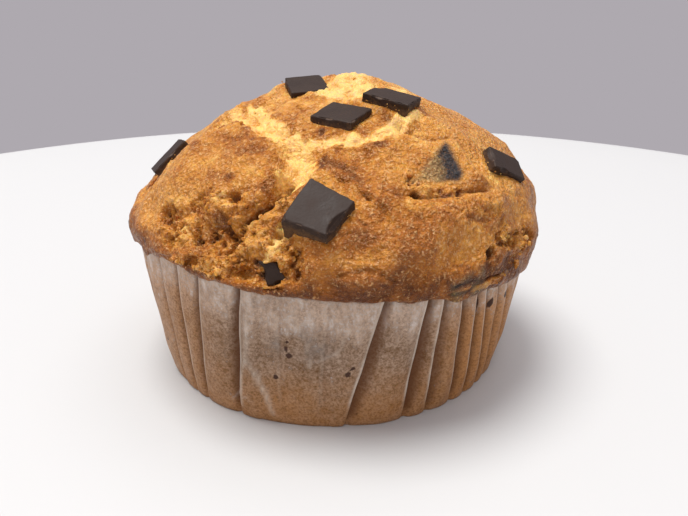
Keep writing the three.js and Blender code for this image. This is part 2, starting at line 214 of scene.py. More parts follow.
# Scallops broken out of the chunks: centre as shares of the half length and half width, how far it
# reaches over the top face, and its depth.
CHIPS = {
    "chunk_front": ((1.0, -0.25, 2.5, 0.7), (-1.0, -1.0, 1.6, 0.6), (-0.2, -1.05, 1.0, 0.4)),
    "chunk_top_left": ((1.0, 1.0, 1.0, 0.4), (0.3, -1.0, 0.8, 0.25)),
    "chunk_top_middle": ((-0.1, -1.0, 0.9, 0.3), (1.0, -0.7, 0.8, 0.3)),
    "chunk_top_right": ((-1.05, 1.0, 2.4, 1.5), (-0.3, -1.0, 1.0, 0.35)),
    "chunk_far_left": ((0.2, -1.0, 1.0, 0.3), (1.0, 1.0, 1.0, 0.4)),
    "chunk_far_right": ((-1.0, 0.2, 2.0, 0.6), (1.0, 1.0, 1.4, 0.6), (-0.4, -1.0, 1.2, 0.5)),
    "chunk_behind_top": ((1.0, 1.0, 1.2, 0.5),),
    "chunk_by_paper": ((-1.0, 0.2, 1.4, 0.7), (1.0, 1.0, 1.1, 0.6), (0.3, -1.0, 1.2, 0.6),
                       (-0.2, 1.0, 0.9, 0.5)),
}

# Small crumbs thrown over the crust, few of which stay, and those on the sides of each chunk.
CRUMBS_THROWN, CRUMBS_PER_CHUNK = 26000, 80
# Larger crumbs: u, v, height over the crust, half lengths along, across and up, heading, bake level.
BIG_CRUMBS = (
    (-26.4, -28.4, 0.4, 0.9, 0.45, 0.3, 25, 0.1), (-19.8, -28.2, 0.3, 0.6, 0.3, 0.4, 70, 0.3),
    (-32.4, -12.8, 0.5, 1.6, 0.6, 0.3, 200, 0.62),
    (28.4, -30.4, 0.3, 0.5, 0.3, 0.35, 20, 0.28), (31.0, -28.2, 0.3, 0.35, 0.3, 0.3, 60, 0.22),
    (29.4, -29.2, 0.3, 0.35, 0.25, 0.3, 75, 0.3), (30.2, -31.2, 0.3, 0.3, 0.25, 0.25, 10, 0.36),
    (36.4, -25.2, 0.5, 0.55, 0.35, 0.4, 40, 0.3), (37.6, -25.8, 0.4, 0.5, 0.3, 0.35, 0, 0.34),
    (35.2, -24.4, 0.3, 0.3, 0.25, 0.3, 50, 0.25), (38.4, -28.2, 0.3, 0.35, 0.25, 0.3, 30, 0.45),
    (38.6, -30.6, 0.5, 1.2, 0.4, 0.4, 5, 0.55), (29.2, -42.0, 0.2, 0.6, 0.35, 0.35, 30, 0.35),
)

# Fold lines of the case: heading at the rim, heading at the foot, depth as a share of FOLD, width of
# the open groove beside the fold, and which side of the line stands proud (1 is the lower heading).
FRONT_FOLDS = (
    (-155, -161, 0.8, 1.4, -1), (-143.3, -145.6, 0.8, 1.5, -1), (-134.4, -138.4, 0.8, 1.5, -1),
    (-126.4, -133, 0.8, 1.5, -1), (-113.4, -119.2, 1, 2.0, -1), (-103, -105, 0.12, 0.8, 1),
    (-91, -94, 0.12, 0.8, 1), (-77.3, -86.8, 0.9, 2.4, 1), (-65.9, -69.6, 1, 3.0, 1),
    (-61.4, -61.9, 0.9, 2.8, 1), (-55, -52, 1, 2.4, 1), (-49.7, -45.1, 1, 2.2, 1),
    (-45.7, -37.7, 1, 2.0, 1), (-39.4, -32.3, 0.9, 2.0, 1), (-33, -23, 1, 1.6, 1),
)
# The even folds round the back: first and last heading, number, and how far the first ones slant.
EVEN_FROM, EVEN_TO, EVEN_COUNT, EVEN_SLANT = -25.0, 197.0, 28, 4
# Shares of a pleat's width at which it has a column of points, closest beside the folds.
PLEAT_STEPS = (0, 0.02, 0.045, 0.075, 0.115, 0.16, 0.21, 0.28, 0.36, 0.44, 0.52, 0.6, 0.68, 0.75, 0.81,
               0.86, 0.9, 0.935, 0.965, 0.985)
# Shares of the height at which the rounded foot has its rows, before the even rows begin.
FOOT_ROWS, EVEN_ROWS_FROM = (0, 0.012, 0.03), 0.055

# Creases pressed into the paper: half width, height, then heading and share of the height.
CREASES = (
    (0.7, 0.30, ((-111.0, 1.0), (-111.2, 0.85), (-112.0, 0.72), (-113.1, 0.52))),
    (0.9, 0.30, ((-113.1, 0.52), (-110.9, 0.37), (-109.2, 0.22), (-107.8, 0.09))),
    (0.5, 0.30, ((-113.1, 0.52), (-115.6, 0.36), (-117.6, 0.1))),
    (0.9, -0.40, ((-108, 0.24), (-98, 0.27), (-88, 0.24))),
    (0.5, 0.20, ((-100, 0.9), (-97, 0.7), (-96, 0.5))),
    (0.4, 0.18, ((-121, 0.12), (-118, 0.2), (-114, 0.16))),
    (0.45, 0.22, ((-86, 0.8), (-89, 0.62), (-94, 0.55))),
)
# Stains: heading, share of the height, radius across, radius up.
STAINS = (
    (-101.7, 0.67, 0.35, 0.35), (-102.2, 0.62, 0.45, 0.4), (-101.5, 0.57, 0.65, 0.55),
    (-96.4, 0.64, 0.3, 0.3), (-105.7, 0.39, 0.55, 0.5), (-85.1, 0.51, 0.45, 0.45), (-86.4, 0.46, 0.6, 0.6),
    (-34.1, 0.86, 0.8, 0.9), (-47.9, 0.82, 0.45, 2.6), (-47.4, 0.68, 0.5, 0.9), (-42.4, 0.84, 0.35, 1.3),
    (-61, 0.93, 0.5, 0.3), (-152, 0.3, 0.4, 0.4), (74, 0.7, 0.6, 0.6), (121, 0.5, 0.5, 0.8),
    (12, 0.62, 0.4, 0.5),
)
# Chocolate that shows blue-grey through the paper: heading, share, radius across, radius up.
SHOWING = ((-104.1, 0.64, 1.4, 1.6), (-94.8, 0.68, 3.2, 2.6), (-109, 0.95, 1.6, 1.2), (52, 0.6, 2.4, 2.0))

# Noise layers: amount, size of the largest marks in millimetres, octaves, seed, and for some the share
# of its strength that each octave keeps from the last.
NOISES = {
    "ragged": (0.75, 3.0, 4, 11, 0.75), "wander": (0.45, 2.2, 3, 21),
    "skin": (0.13, 0.9, 2, 51), "pebbles": (0.26, 3.0, 3, 61), "rough": (1, 2.6, 4, 64, 0.7),
    "crags": (1, 4.6, 4, 71, 0.6), "voids": (1, 2.6, 3, 76), "crag grit": (0.12, 0.8, 2, 79),
    "sponge": (1, 2.8, 4, 81, 0.65), "pores": (1, 1.5, 2, 86), "ledge sway": (0.9, 4.5, 3, 25),
    "ledge fray": (0.9, 1.9, 3, 27, 0.7), "lip": (1, 3.8, 4, 29, 0.65), "film": (0.5, 1.6, 3, 121),
    "baked patches": (0.17, 9.0, 4, 101), "baked spots": (0.10, 2.4, 3, 105),
    "crumb edge": (0.5, 3.0, 3, 91), "crumb rim": (1, 2.5, 2, 95),
    "rugged tone": (0.45, 3.0, 4, 108, 0.7), "crumb tone": (0.40, 2.6, 3, 111),
    "torn tone": (0.50, 3.6, 4, 113, 0.65), "crumple": (0.20, 5.5, 3, 131),
    "fine crumple": (0.05, 1.6, 2, 135), "soaked": (1, 3.4, 4, 141, 0.7),
    "soaked far": (1, 9.0, 3, 145), "fold sway": (np.radians(0.7), 12.0, 3, 161),
}

# Rings of the board under the muffin: radius, height.
BOARD = ((0.01, 0), (60, 0), (120, 0), (180, 0), (205, 0), (210, -0.4), (212, -1.6), (212, -6))

# Camera: place in metres, tilt and turn in degrees, focal length as a share of the picture's width,
# and the width of the sensor in millimetres.
EYE, EYE_TILT, EYE_TURN = (0, -0.1264, 0.0678), 68.0, -0.97
FOCAL, SENSOR = 700 / 688, 36
# Where all the lights aim, in metres.
AIM = (0, 0, 0.03)

# Lights: name, place in metres, width in metres, power, colour.
LIGHTS = (
    ("key", (-0.34, 0.04, 1.46), 0.80, 21.0, (1.0, 0.985, 0.96)),
    ("fill", (0.25, 0.3, 1.45), 1.3, 6.0, (1.0, 0.99, 0.98)),
    ("front", (-0.1, -0.8, 0.75), 0.4, 1.6, (1.0, 0.99, 0.98)),
)


# ---------------------------------------------------------------- small maths
def smooth(a, b, x):
    """Smoothstep from a to b."""
    t = np.clip((x - a) / (b - a), 0, 1)
    return t * t * (3 - 2 * t)


def unit(a):
    """Vectors scaled to length 1."""
    return a / np.maximum(np.linalg.norm(a, axis=-1, keepdims=True), 1e-9)


def hashed(ix, iy, iz, seed):
    """A repeatable value from 0 to 1 for each whole-number cell."""
    low = np.uint64(0xFFFFFFFF)
    n = np.uint64(seed * 2654435761)
    for cells, prime in ((ix, 73856093), (iy, 19349663), (iz, 83492791)):
        n = n ^ cells.astype(np.uint64) * np.uint64(prime)
    n &= low
    for shift, factor in ((15, 2246822519), (13, 3266489917)):
        n = (n ^ (n >> np.uint64(shift))) * np.uint64(factor) & low
    n ^= n >> np.uint64(16)
    return n.astype(float) / float(low)


def lattice_noise(p, size, seed):
    """Smooth value noise from -1 to 1: corner values of a cubic lattice, blended by smoothstep."""
    q = p / size + 1000.0
    cell = np.floor(q).astype(np.int64)
    f = q - cell
    f = f * f * (3 - 2 * f)
    total = np.zeros(len(p))
    for corner in range(8):
        o = (corner & 1, corner >> 1 & 1, corner >> 2 & 1)
        w = np.ones(len(p))
        for k in range(3):
            w = w * (f[:, k] if o[k] else 1 - f[:, k])
        total += w * hashed(cell[:, 0] + o[0], cell[:, 1] + o[1], cell[:, 2] + o[2], seed)
    return total * 2 - 1


def fractal(p, size, octaves, seed, fall=0.55):
    """Sum of lattice noises, each half the size and a little weaker than the last."""
    total = np.zeros(len(p))
    weight, norm = 1.0, 0.0
    for k in range(octaves):
        total += weight * lattice_noise(p, size / 2 ** k, seed + 17 * k)
        norm += weight
        weight *= fall
    return total / norm


def noise(name, p):
    """One of the noise layers at the given places."""
    amount, *layer = NOISES[name]
    return amount * fractal(p, *layer)


def lumps(p, size, seed):
    """Round lumps packed side by side, from 0 in the creases to 1 on top: the root of 1 - d^2, with d
    the distance, in cells, to the nearest of one random point per cell."""
    q = p / size + 1000.0
    cell = np.floor(q).astype(np.int64)
    best = np.full(len(p), 9.0)
    for dx in (-1, 0, 1):
        for dy in (-1, 0, 1):
            for dz in (-1, 0, 1):
                c = cell + np.array((dx, dy, dz))
                d = np.zeros(len(p))
                for k in range(3):
                    d += (c[:, k] + hashed(c[:, 0], c[:, 1], c[:, 2], seed + k) - q[:, k]) ** 2
                best = np.minimum(best, d)
    return np.sqrt(np.maximum(1 - best / 0.9, 0))


def line_side(u, v, points):
    """Distance to a line through corner points, positive on the left of its direction."""
    best = np.full(np.shape(u), 1e9)
    side = np.ones(np.shape(u))
    for (ax, ay), (bx, by) in zip(points[:-1], points[1:]):
        len2 = (bx - ax) ** 2 + (by - ay) ** 2
        t = np.clip(((u - ax) * (bx - ax) + (v - ay) * (by - ay)) / len2, 0, 1)
        d = np.hypot(u - ax - t * (bx - ax), v - ay - t * (by - ay))
        turn = np.where((bx - ax) * (v - ay) - (by - ay) * (u - ax) > 0, 1.0, -1.0)
        side = np.where(d < best, turn, side)
        best = np.minimum(best, d)
    return best * side


def line_distance(u, v, points):
    """Distance to a line through corner points."""
    return np.abs(line_side(u, v, points))


def around(radius, angle, height):
    """Points at a radius and a heading round the axis of the case, and at a height."""
    across, ahead = radius * np.cos(angle), radius * np.sin(angle)
    return np.stack(np.broadcast_arrays(across, ahead, height), -1)


# ---------------------------------------------------------------- crust form
def crest(angle, at, width):
    """A bell over the heading: 1 in its middle, fading out over width degrees."""
    off = (np.degrees(angle) - at + 540) % 360 - 180
    return np.exp(-(off / width) ** 2)


def rim_height(angle, sizes):
    """Height of the case's rim: a leaning plane with a low crest at the front left."""
    back = np.where(np.sin(angle) < 0, 1.0, 0.6)
    lean = RIM_LEAN_X * np.cos(angle) + RIM_LEAN_Y * np.sin(angle) * back
    high = RIM_CREST * crest(angle, RIM_CREST_AT, RIM_CREST_WIDTH)
    return sizes.rim_height / MM + lean * sizes.rim_radius / MM + high


def plain_crust(u, v, sizes):
    """Dome: radius goes as a sine of the reach and height as the root of 1 - sine^1.325.
    Past reach 1 the lip turns down and in as a quarter ellipse to just above the rim."""
    reach = np.minimum(np.hypot(u, v) / CHART, LIP_END)
    angle = np.arctan2(v, u)
    t = np.minimum(reach, 1)
    g = np.sin(t * np.pi / 2)
    lean = np.cos(t * np.pi / 2)
    k = np.clip((reach - 1) / (LIP_END - 1), 0, 1)
    edge = rim_height(angle, sizes) + LIP_CLEAR
    climb = CROWN_CREST * smooth(CROWN_CREST_FROM, 1, t)
    widest = CROWN_Z + climb * crest(angle, CROWN_CREST_AT, CROWN_CREST_WIDTH)
    r = CROWN_R * g - LIP_TUCK * (1 - np.sqrt(1 - k * k))
    dome = widest + CROWN_H * np.sqrt(np.maximum(1 - g ** CROWN_POWER, 0))
    z = np.where(reach > 1, widest + (edge - widest) * np.sin(k * np.pi / 2), dome)
    x = CROWN_X * (1 - k) + (TOP_X - CROWN_X) * lean + r * np.cos(angle)
    return np.stack([x, TOP_Y * lean + r * np.sin(angle), z], -1)


def crust_normal(u, v, sizes):
    """Normal of the plain crust, turning to straight outwards at the lip."""
    d = 0.6
    a = plain_crust(u + d, v, sizes) - plain_crust(u - d, v, sizes)
    b = plain_crust(u, v + d, sizes) - plain_crust(u, v - d, sizes)
    turn = smooth(0.98, 1.08, np.hypot(u, v) / CHART)[..., None]
    flat = unit(np.stack([u, v, 0 * u], -1))
    return unit(unit(np.cross(a, b)) * (1 - turn) + flat * turn)


def relief(u, v, wander=0.0, crisp=1.0):
    """Broad relief in millimetres: oval swellings, soft cracks, ledges and three slow waves. The
    ledges' lines stray by wander, and their slopes are crisp times as wide."""
    h = np.zeros(np.shape(u))
    for cu, cv, along, across, turn, height in SWELLINGS:
        c, s = np.cos(np.radians(turn)), np.sin(np.radians(turn))
        p = ((u - cu) * c + (v - cv) * s) / along
        q = (-(u - cu) * s + (v - cv) * c) / across
        h += height * np.exp(-(p * p + q * q))
    for half, depth, points in CRACKS:
        h -= depth * np.exp(-(line_distance(u, v, points) / half) ** 2)
    for height, soft, carry, points in LEDGES:
        d = line_side(u, v, points) + wander
        high = 1 - smooth(-soft * crisp, soft * crisp, d)
        h += height * high * np.exp(-(np.maximum(-d, 0) / carry) ** 2)
    h += 0.28 * np.sin(0.31 * u + 0.9) * np.sin(0.27 * v + 2.1)
    h += 0.22 * np.sin(0.47 * u - 0.38 * v + 0.4)
    h += 0.16 * np.sin(0.22 * u + 0.71 * v + 1.3)
    return h * (1 - 0.5 * smooth(1.04, LIP_END, np.hypot(u, v) / CHART))


def turned(degrees, axis):
    """Rotation matrix about one axis."""
    c, s = np.cos(np.radians(degrees)), np.sin(np.radians(degrees))
    a, b = (axis + 1) % 3, (axis + 2) % 3
    matrix = np.eye(3)
    matrix[a, a], matrix[a, b], matrix[b, a], matrix[b, b] = c, -s, s, c
    return matrix


def chunk_frame(name, sizes):
    """Where a chunk sits: the centre of its top face, on the crust's normal, and its three directions."""
    u, v, turn, tilt_x, tilt_y, *_, lift = CHUNKS[name]
    u, v = np.array([float(u)]), np.array([float(v)])
    up = crust_normal(u, v, sizes)[0]
    seat = plain_crust(u, v, sizes)[0] + up * relief(u, v)[0]
    side = unit(np.array([1.0, 0, 0]) - up * up[0])
    basis = np.stack([side, np.cross(up, side), up], 1)
    return seat + up * lift, basis @ turned(turn, 2) @ turned(tilt_x, 0) @ turned(tilt_y, 1)


# ---------------------------------------------------------------- meshes
def make_piece(name, verts, faces, material, attributes=None, rounded=True):
    """A mesh object at the origin from arrays in millimetres, with float attributes per vertex."""
    mesh = bpy.data.meshes.new(name)
    faces = np.asarray(faces, np.int32)
    side = faces.shape[1]
    mesh.vertices.add(len(verts))
    mesh.vertices.foreach_set("co", (np.asarray(verts) * MM).astype(np.float32).ravel())
    mesh.loops.add(faces.size)
    mesh.loops.foreach_set("vertex_index", faces.ravel())
    mesh.polygons.add(len(faces))
    mesh.polygons.foreach_set("loop_start", np.arange(0, faces.size, side, dtype=np.int32))
    mesh.polygons.foreach_set("use_smooth", np.full(len(faces), rounded))
    mesh.update(calc_edges=True)
    mesh.validate()
    for key, values in (attributes or {}).items():
        layer = mesh.attributes.new(key, "FLOAT", "POINT")
        layer.data.foreach_set("value", np.asarray(values, np.float32))
    mesh.materials.append(material)
    piece = bpy.data.objects.new(name, mesh)
    bpy.context.scene.collection.objects.link(piece)
    return piece


def grid_quads(index, closed=False):
    """Quads between neighbouring rows and columns of indices. Closed, the last column meets the first."""
    if closed:
        index = np.concatenate([index, index[:, :1]], 1)
    return np.stack([index[:-1, :-1], index[1:, :-1], index[1:, 1:], index[:-1, 1:]], -1).reshape(-1, 4)


def rounded_block(half, count, radius):
    """Six square grids pulled onto a box with rounded edges, joined at the shared edges."""
    s = np.sin(np.linspace(-1, 1, count) * np.pi / 2)
    a, b = np.meshgrid(s, s, indexing="ij")
    one = np.ones_like(a)
    sides = ((a, b, one), (b, a, -one), (one, a, b), (-one, b, a), (b, one, a), (a, -one, b))
    cube = np.stack([np.stack(side, -1) for side in sides]).reshape(-1, 3)
    quad = grid_quads(np.arange(count * count).reshape(count, count))
    faces = np.concatenate([quad + k * count * count for k in range(6)])
    cube, back = np.unique(np.round(cube, 5), axis=0, return_inverse=True)
    faces = back.ravel()[faces]
    full = cube * half
    core = np.clip(full, -(half - radius), half - radius)
    out = unit(full - core)
    return core + out * radius, out, faces


# ---------------------------------------------------------------- shader trees
def linear(hex_colour):
    """sRGB hex to linear RGB."""
    c = np.array([int(hex_colour[i:i + 2], 16) / 255 for i in (1, 3, 5)])
    return tuple(np.where(c <= 0.04045, c / 12.92, ((c + 0.055) / 1.055) ** 2.4))


def rgba(colour):
    """A colour socket's value from sRGB hex or from a linear RGB property."""
    return (*(linear(colour) if isinstance(colour, str) else colour), 1.0)


def new_material(name):
    """An empty node tree under a new material."""
    material = bpy.data.materials.new(name)
    material.use_nodes = True
    material.node_tree.nodes.clear()
    return material, material.node_tree


def add(tree, kind, values=None, out=0, **settings):
    """Add one shader node: a value that is a socket is linked, any other is set. Gives one output."""
    node = tree.nodes.new("ShaderNode" + kind)
    for key, value in settings.items():
        setattr(node, key, value)
    for key, value in (values or {}).items():
        if isinstance(value, bpy.types.NodeSocket):
            tree.links.new(value, node.inputs[key])
        else:
            node.inputs[key].default_value = value
    return node.outputs[out] if node.outputs else node


def weighed(tree, start, terms):
    """A start value plus each term times its weight."""
    total = start
    for term, weight in terms:
        total = add(tree, "Math", {0: term, 1: weight, 2: total}, operation="MULTIPLY_ADD")
    return total


def layered(tree, colour, layers):
    """A colour under layers: each is a level, where it starts, where it covers, and its colour."""
    under = rgba(colour)
    for level, low, high, tone in layers:
        share = add(tree, "MapRange", {0: level, 1: low, 2: high})
        under = add(tree, "Mix", {0: share, 6: under, 7: rgba(tone)}, out=2, data_type="RGBA")
    return under


def per_mm(size):
    """Texture scale at which a pattern's largest marks are about size millimetres across."""
    return 1 / (size * MM)


# ---------------------------------------------------------------- properties
def length(name, description, default, low, high):
    """A length property in metres."""
    return bpy.props.FloatProperty(name=name, description=description, default=default, min=low, max=high,
                                   unit="LENGTH")


def whole_number(name, description, default, low, high):
    """A whole number property."""
    return bpy.props.IntProperty(name=name, description=description, default=default, min=low, max=high)


def tint(name, description, hex_colour):
    """A colour property, given as sRGB hex."""
    return bpy.props.FloatVectorProperty(name=name, description=description, default=linear(hex_colour),
                                         size=3, subtype="COLOR", min=0, max=1)


class MuffinSizes(bpy.types.PropertyGroup):
    """Sizes that a user would change."""
    rim_radius: length("Rim radius", "Radius of the paper case at its rim", 0.0352, 0.02, 0.06)
    foot_radius: length("Foot radius", "Radius of the paper case just above its foot", 0.03175, 0.02, 0.06)
    rim_height: length("Rim height", "Mean height of the paper case", 0.0209, 0.01, 0.04)
    crust_grid: whole_number("Crust grid", "Points along one side of the crust's grid", 300, 40, 300)
    case_rows: whole_number("Paper rows", "Rows of faces up the paper case", 46, 6, 50)


class MuffinColours(bpy.types.PropertyGroup):
    """Colours that a user would change."""
    crumb: tint("Open crumb", "Pale crumb where the dome has split", "#F7CB72")
    crust: tint("Crust", "Golden brown of the baked crust", "#AE661A")
    paper: tint("Paper", "Greaseproof paper where it stands clear of the cake", "#C8AE98")
    chocolate: tint("Chocolate", "Dark chocolate", "#30231C")


# ---------------------------------------------------------------- crust piece
def disc_grid(count):
    """Square grid rounded to a disc, u = a sqrt(1 - b^2 / 2) and v alike, and drawn GRID_DRAW times
    1 - reach^2 towards -v, where the torn crust needs the finest faces: u, v, quads, boundary loop."""
    s = np.linspace(-1, 1, count)
    a, b = np.meshgrid(s, s, indexing="ij")
    u, v = (a * np.sqrt(1 - b * b / 2)).ravel(), (b * np.sqrt(1 - a * a / 2)).ravel()
    index = np.arange(count * count).reshape(count, count)
    loop = np.concatenate([index[-1, :-1], index[:0:-1, -1], index[0, :0:-1], index[:-1, 0]])
    return u, v - GRID_DRAW * (1 - u * u - v * v), grid_quads(index), loop


def band(u, v, lines, ragged):
    """1 inside the bands around the lines, fading out over a ragged edge."""
    inside = np.zeros(np.shape(u))
    for half, points in lines:
        d = line_distance(u, v, points) / half + ragged
        inside = np.maximum(inside, 1 - smooth(0.7, 1.1, d))
    return inside


def crust_fields(u, v, place):
    """The masks of the crust: open crumb, torn and rugged crust, and the depths of cracks and holes."""
    ragged = noise("ragged", place)
    wander = noise("wander", place)
    crack, hole = np.zeros(len(u)), np.zeros(len(u))
    for half, depth, points in FINE_CRACKS:
        d = (line_distance(u, v, points) + wander) / half
        crack = np.maximum(crack, depth * np.exp(-d * d))
    for cu, cv, radius, depth in HOLES:
        d = np.hypot(u - cu, v - cv) / radius + 1.6 * wander
        hole = np.maximum(hole, depth * (1 - smooth(0.5, 1.25, d)))
    return {"open": band(u, v, OPEN_CRUMB, ragged), "torn": band(u, v, TORN, ragged),
            "rugged": band(u, v, RUGGED, ragged), "crack": crack, "hole": hole}


def terraced(height, step):
    """A height turned into steps with short slopes between them."""
    level = height / step
    return step * (np.floor(level) + smooth(0.55, 1.0, level - np.floor(level)))


def fine_relief(place, fields):
    """Millimetres of fine relief: pebbled crust, stepped crags where it is torn, spongy open crumb,
    cracks and holes."""
    torn = fields["torn"]
    opened = fields["open"] * (1 - torn)
    small = lumps(place, 0.95, 41) - 0.6
    pebble = noise("skin", place) + noise("pebbles", place) + 0.10 * small
    rough = noise("rough", place)
    pebble += fields["rugged"] * (0.35 * terraced(1.2 * rough, 0.5) + 0.35 * rough + 0.15 * small)
    crag = noise("crags", place)
    voids = smooth(0.14, 0.42, noise("voids", place))
    crag = 1.0 * terraced(2.4 * crag, 0.8) + 0.6 * crag + 0.5 * (lumps(place, 2.4, 31) - 0.6)
    crag += 0.12 * small + noise("crag grit", place) - 0.85 * voids
    pores = smooth(0.15, 0.5, noise("pores", place))
    sponge = noise("sponge", place)
    sponge = 0.6 * terraced(1.6 * sponge, 0.5) + 0.5 * sponge + 0.2 * small - 0.45 * pores - 0.2
    h = pebble * (1 - torn) * (1 - opened) + crag * torn + sponge * opened
    return h - fields["crack"] - fields["hole"]


def dress(u, v, sizes):
    """The crust with all its relief: places, normals, broad and fine heights, and the masks."""
    plain = plain_crust(u, v, sizes)
    normal = crust_normal(u, v, sizes)
    reach = np.hypot(u, v) / CHART
    fields = crust_fields(u, v, plain)
    broad = relief(u, v, noise("ledge sway", plain) + noise("ledge fray", plain), 0.32)
    fine = fine_relief(plain, fields) * (1 - 0.6 * smooth(1.0, 1.14, reach))
    verts = plain + normal * (broad + fine)[:, None]
    hang = 0.9 + 0.8 * crest(np.arctan2(v, u), -133, 26)
    verts[:, 2] -= smooth(1.04, LIP_END, reach) * (0.4 + hang * noise("lip", plain))
    return {"plain": plain, "normal": normal, "reach": reach, "broad": broad, "fine": fine,
            "verts": verts, **fields}


def hollow_depth(height, count):
    """How far each point lies below its surroundings, about a millimetre wide: the mean of a point and
    its four neighbours, taken over and over, less the point's own height."""
    mean = height.reshape(count, count)
    for _ in range(HOLLOW_ROUNDS):
        wide = np.pad(mean, 1, mode="edge")
        mean = (wide[:-2, 1:-1] + wide[2:, 1:-1] + wide[1:-1, :-2] + wide[1:-1, 2:] + mean) / 5
    return mean.ravel() - height


def seat_chunks(coat, sizes):
    """Sink the crust under each bare chunk and let it climb to the chunk's sides, and lay it as a thin
    film over a covered one. Gives the cover of each film."""
    verts, cover = coat["verts"], {}
    for name, (*_, long, wide, _, lift) in CHUNKS.items():
        centre, axes = chunk_frame(name, sizes)
        local = (verts - centre) @ axes
        height = local[:, 2]
        side = (np.array([long / 2, wide / 2]) - np.abs(local[:, :2])).min(1)
        near = np.abs(height) < SEAT_REACH
        if name in COVERED:
            cover[name] = smooth(-2.4, 0.25, side) * near
            rise = np.maximum(FILM_THICK - height + 0.10 * coat["fine"], 0) * cover[name]
        else:
            climb = np.maximum(-lift - 0.3 * coat["fine"] - height, 0)
            climb *= smooth(-2.2, -0.2, side) * (height > -4)
            drop = np.maximum(height + SEAT_DROP, 0) * smooth(0, 0.5, side - SEAT_EDGE) * near
            rise = np.minimum(climb, 1.4) * (side < SEAT_EDGE) - drop
        verts = verts + axes[:, 2] * rise[:, None]
    coat["verts"] = verts
    return cover


def film_fields(u, v, coat, cover):
    """Film of the crust over the covered chunk and its dark tone: a shape with a soft edge, darker towards
    its right side."""
    ragged = noise("film", coat["plain"])
    inside = np.full(len(u), 9.0)
    for (ax, ay), (bx, by) in zip(FILM_CORNERS, FILM_CORNERS[1:] + FILM_CORNERS[:1]):
        across = ((bx - ax) * (v - ay) - (by - ay) * (u - ax)) / np.hypot(bx - ax, by - ay)
        inside = np.minimum(inside, -across)
    right = smooth(5.4, 0.6, line_distance(u, v, FILM_CORNERS[:3]) + 1.4 * ragged)
    film = smooth(-0.5, 0.9, inside + 0.7 * ragged) * (0.6 + 0.4 * right)
    low = smooth(0.5, 1.0, cover["chunk_low_right"]) * smooth(-0.3, 0.3, ragged)
    return np.maximum(film, 0.5 * low), film * right


def bake_level(u, v, coat, hollow):
    """How brown the crust is, from 0 for open crumb to 1 for dark crust: browner to the lip, beside
    the open crumb, uneven everywhere, and browner by painted shade in hollows and where the fine relief
    sinks."""
    plain, fine, torn, opened = coat["plain"], coat["fine"], coat["torn"], coat["open"]
    deep = smooth(0.05, 0.6, hollow)
    bake = 0.34 + 0.12 * smooth(0.45, 0.85, coat["reach"]) + 0.44 * smooth(0.84, 1.06, coat["reach"])
    bake += noise("baked patches", plain) + noise("baked spots", plain)
    bake += 0.05 * np.clip(coat["broad"], -1.5, 2)
    wider = [(half + 1.6, points) for half, points in OPEN_CRUMB]
    edge = band(u, v, wider, noise("crumb edge", plain))
    bake += 0.30 * edge * smooth(-0.3, 0.4, noise("crumb rim", plain))
    for cu, cv, wide, more in BROWNED:
        bake += more * np.exp(-((u - cu) ** 2 + (v - cv) ** 2) / wide ** 2)
    # painted shade: darker where the fine relief sinks, lighter on its tops
    bake -= 0.30 * np.clip(fine, -0.5, 0.5)
    bake += coat["rugged"] * (0.04 + noise("rugged tone", plain))
    # painted shade: open crumb and torn crust browner in hollows, torn crust darker where its fine relief
    # sinks
    pale = noise("crumb tone", plain) + 0.25 * deep
    crumbly = 0.45 + noise("torn tone", plain) + 0.28 * deep - 0.15 * np.clip(fine, -0.6, 0.8)
    bake = bake * (1 - torn) + crumbly * torn
    return bake * (1 - opened) + pale * opened


def hidden_wall(verts, loop, sizes):
    """Points and faces from the lip's edge down inside the case and across its floor: rings joined one
    to the next, and the last one to a hub."""
    angle = np.arctan2(verts[loop, 1], verts[loop, 0])
    foot, rim = sizes.foot_radius / MM, sizes.rim_radius / MM
    points, walls, previous = [], [], loop
    start = len(verts)
    for share, lift, inset in WALL_RINGS:
        r = foot + (rim - foot) * share - inset
        points.append(around(r, angle, share * rim_height(angle, sizes) + lift))
        now = start + np.arange(len(loop))
        walls.append(grid_quads(np.stack([previous, now]), closed=True))
        previous, start = now, start + len(loop)
    points.append(np.array([[0, 0, WALL_FLOOR]]))
    hub = np.full(len(loop) // 2, start)
    walls.append(np.stack([previous[0::2], hub, np.roll(previous, -2)[0::2], previous[1::2]], 1))
    return np.concatenate(points), np.concatenate(walls)


def hollow_shade_level(coat, hollow):
    """Painted shade of the crust: how dark it is made in cracks, in holes and in hollows, least in open
    crumb.
    """
    deep = (0.5 + 0.25 * coat["torn"] - 0.45 * coat["open"]) * smooth(0.15, 0.9, hollow)
    return np.clip(np.maximum(0.8 * coat["crack"] + 0.7 * coat["hole"], deep), 0, 0.95)


